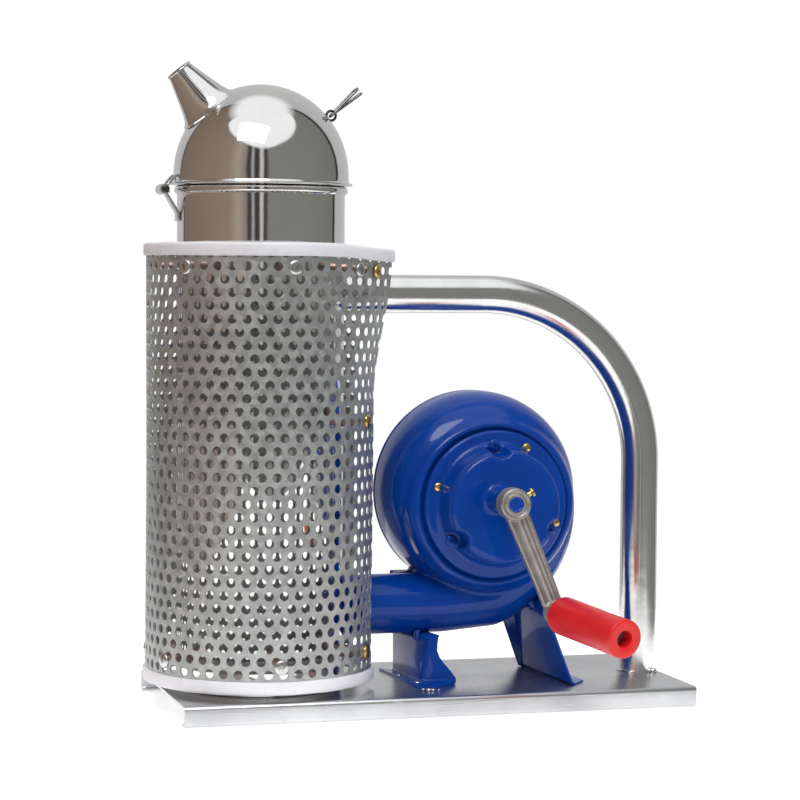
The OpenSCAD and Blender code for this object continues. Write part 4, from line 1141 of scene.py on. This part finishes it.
def block(name, low, high, matrix, bevelWidth=0.8):
    clearPick()
    middle = [(a + b) / 2 for a, b in zip(low, high)]
    bpy.ops.mesh.primitive_cube_add(size=1, location=[v * mm for v in middle])
    obj = bpy.context.object
    obj.name = name
    obj.scale = [(b - a) * mm for a, b in zip(low, high)]
    bpy.ops.object.transform_apply(location=True, rotation=True, scale=True)
    soften(obj, bevelWidth, 2)
    return moveMesh(obj, matrix)


def makeArm():
    c, s = math.cos(math.radians(crank["angle"])), math.sin(math.radians(crank["angle"]))
    along, across = Vector((c, 0, s)), Vector((-s, 0, c))
    # the arm's own axes: along it, across it and out to the front, leaning forward by the tilt
    basis = Matrix((along, across, forward)).transposed().to_4x4()
    lean = Matrix.Rotation(math.radians(-crank["tilt"]), 4, "Y")
    frameAt = Matrix.Translation(at(crankAt[0], -crank["back"] - 1.2, crankAt[1])) @ basis @ lean
    reach, thick = crank["reach"], crank["thick"]
    blade = block("blade", (0, -0.5, 0), (reach, 0.5, thick - 1.1), Matrix.Identity(4), 0.01)
    for vertex in blade.data.vertices:
        share = vertex.co.x / (reach * mm)
        vertex.co.y = math.copysign((crank["wideHub"] * (1 - share) + crank["wideEnd"] * share) / 2 * mm, vertex.co.y)
    parts = [moveMesh(soften(blade, 0.9, 3), frameAt)]
    for low, high, top in ((-1.4, 0.5, 0.35), (1.7, 3.4, 0.35), (-7.0, -5.0, -0.35), (5.0, 6.6, -0.35)):
        rib = block("rib", (4, low, 1), (reach - 3, high, thick + top - 0.2), Matrix.Identity(4), 0.5)
        for vertex in rib.data.vertices:
            share = vertex.co.x / (reach * mm)
            vertex.co.y *= 1 - 0.18 * share
        parts.append(moveMesh(rib, frameAt))
    hub = crank["hub"]
    back, front = crank["back"], crank["front"]
    shape = [(0, back), (hub - 0.7, back), (hub, back + 0.7), (hub, front - 1.3), (hub - 0.5, front - 0.3),
             (hub - 1.2, front), (hub - 2.0, front), (hub - 2.5, front - 1.0), (hub - 3.1, front - 1.1),
             (hub - 3.5, front - 0.3), (5.9, front - 0.1), (5.6, front - 0.3), (0, front - 0.3)]
    parts.append(lathe("hub", shape, at(crankAt[0], 0, crankAt[1]), forward, closed=False, steps=64))
    seat = at(gripAt["x"], gripAt["y"], gripAt["z"])
    boss = [(0, -9.6), (6.2, -9.6), (7, -8.8), (7, -0.3), (6.6, 0), (0, 0)]
    parts.append(lathe("boss", boss, seat, gripWay, closed=False, steps=48))
    arm = joinAll("arm", parts)
    bpy.ops.object.transform_apply(location=True, rotation=True, scale=True)
    remesh(arm, 0.5, 3, 0.5)
    for vertex in arm.data.vertices:
        vertex.co += vertex.normal * noise.noise(vertex.co * 260) * 0.13 * mm
    cutWith(arm, bar("bore", crankAt, crank["shaft"] + 0.02, 70, 110, 48))
    cutWith(arm, lathe("cut", [(0, 0.02), (16, 0.02), (16, 12), (0, 12)], seat, gripWay, closed=False, steps=32))
    cutWith(arm, lathe("pinHole", [(0, -20), (3.52, -20), (3.52, 5), (0, 5)], seat, gripWay, closed=False, steps=32))
    settle(arm, "crankArm", "crank", "cast_metal", ["crank_arm"], angle=50)


def makeCrankShaft():
    r, front = crank["shaft"], crank["front"]
    shape = [(0, 48.7), (r - 0.5, 48.7), (r, 49.2), (r, front - 0.4), (r - 0.5, front + 0.1), (r - 1.3, front + 0.2),
             (r - 1.7, front - 0.2), (0, front - 0.3)]
    shaft = lathe("shaft", shape, at(crankAt[0], 0, crankAt[1]), forward, closed=False, steps=48)
    settle(shaft, "crankShaft", "crank", "blue_enamel", ["crank_shaft"])


def makeGrip():
    r, long, hole = gripAt["radius"], gripAt["length"], gripAt["hole"]
    shape = [(3.6, 0.0)] + [(r - 5 + 5 * math.cos(math.radians(a)), 5 + 5 * math.sin(math.radians(a)))
                            for a in range(-90, 1, 10)]
    shape += [(r + 0.0, long * 0.3), (r - 0.12, long * 0.62), (r, long - 3)]
    shape += [(r - 1.4 + x, long - 1.4 + z) for x, z in arc(0, 0, 1.4, 8, 90, 6)]
    shape += [(hole + 1.0, long - 0.15), (hole + 0.25, long - 0.45), (hole, long - 1.1), (hole, long - gripAt["deep"]),
              (3.6, long - gripAt["deep"])]
    shape = [(x, z + gripAt["gap"]) for x, z in shape]
    grip = lathe("grip", shape, at(gripAt["x"], gripAt["y"], gripAt["z"]), gripWay, steps=96)
    settle(grip, "crankGrip", "grip", "red_plastic", ["grip"], angle=40)


makeArm()
makeCrankShaft()
makeGrip()


# ---------- legs ----------

leg = {"sheet": 1.5, "crease": 2.6, "front": -56, "rear": 26, "topFront": -30, "topRear": 18, "foot": 13,
       "flange": 23, "flangeTop": 6.5}


def makeSheet(name, node, faces):
    # a pressed sheet, drawn as flat faces and then given its bends and its thickness
    parts = []
    for outline in faces:
        drawLine("face", outline, closed=True)
        editDone()
        parts.append(bpy.context.object)
    sheet = joinAll(name, parts)
    bpy.ops.object.transform_apply(location=True, rotation=True, scale=True)
    cleanUp(sheet, 1e-5)
    modify(sheet, "BEVEL", width=leg["crease"] * mm, segments=5, limit_method="ANGLE", angle_limit=math.radians(28))
    modify(sheet, "SOLIDIFY", thickness=leg["sheet"] * mm, offset=0, use_even_offset=True)
    soften(sheet, 0.35, 2, 50)
    settle(sheet, name, "frame", "blue_enamel", [node], angle=35)


def makeLeftLeg():
    # the crease runs down the middle, the web goes back from it and the flange sweeps out to a toe
    low, top = leg["low"], leg["leftTop"]
    crease, edge = [], []
    for share in (0, 0.15, 0.3, 0.45, 0.6, 0.75, 0.88, 1):
        z = top + (low - top) * share
        crease.append(at(2.6 - 5 * share, -24, z))
        edge.append(at(8.6 + 12 * ease(share, 0.25, 1) - 1.5 * math.sin(share * math.pi), -24 - 4 * share, z))
    rearFoot, rearTop, front = at(-6, 29, low), at(-9.5, 18, top), at(-8.3, -51.5, low)
    faces = [[rearTop] + crease + [rearFoot], [crease[-1], front, at(-13.6, 38.4, low), rearFoot],
             [crease[-1], edge[-1], front], [rearTop, crease[0], at(9.5, -23, top), at(4, 18, top)]]
    for i in range(len(crease) - 1):
        faces.append([crease[i], crease[i + 1], edge[i + 1], edge[i]])
    makeSheet("legLeft", "leg_left", faces)


def makeRightLeg():
    # the web leans out to the right, with a flange along its rear edge
    low = leg["low"]
    a, b = spiral(60, -0.75), spiral(67.5, -0.75)
    frontTop, rearTop = at(80.5, -25, spiral(62, -0.6)[1]), at(74.5, 18, spiral(67, -0.75)[1])
    frontFoot, rearFoot = at(90.7, -54.5, low), at(86, 29, low)
    faces = [[frontTop, frontFoot, rearFoot, rearTop], [rearTop, rearFoot, at(83.5, 35, low), at(66, 22, 52)],
             [frontFoot, at(103, -40, low), at(100, 29, low), rearFoot],
             [frontTop, rearTop, at(a[0] + 3, 18, a[1] + 2.5), at(a[0] + 6, -24, a[1] + 5)]]
    makeSheet("legRight", "leg_right", faces)


def makeRivets():
    # low domed rivets and a few drops of weld along the front edge
    spots = [(-8.5, 6.5, 1.9), (-5.5, -25, 2.1), (95, 5, 1.9), (97.5, -25, 1.9)]
    drops = [(-6, -52.6, 2.0), (-3.4, -53.6, 1.5), (-9, -50.6, 1.3), (0.2, -54, 1.0)]
    parts = []
    for x, y, r in spots + drops:
        clearPick()
        bpy.ops.mesh.primitive_uv_sphere_add(segments=20, ring_count=12, radius=r * mm, location=at(x, y, 14.2))
        dot = bpy.context.object
        dot.scale = (1, 1, 0.62)
        parts.append(dot)
    settle(joinAll("rivets", parts), "footRivets", "frame", "bright_steel", ["foot_rivets"], angle=60)


leg.update({"low": base["height"] + leg["sheet"] / 2, "leftTop": 43.7})
makeLeftLeg()
makeRightLeg()
makeRivets()




# ---------- finish ----------

painted = {"leg_bolts": "blue_enamel", "grip_pin": "wire"}
for name, obj in frame["nodes"].items():
    if obj.hide_render:
        continue
    slotName = next(part["material_slot"] for part in frame["record"]["subparts"] if part["node"] == name)
    if name in painted:
        slotName = painted[name]
    for i in range(len(obj.material_slots)):
        obj.material_slots[i].material = finishes[slotName]
    if not obj.material_slots:
        obj.data.materials.append(finishes[slotName])
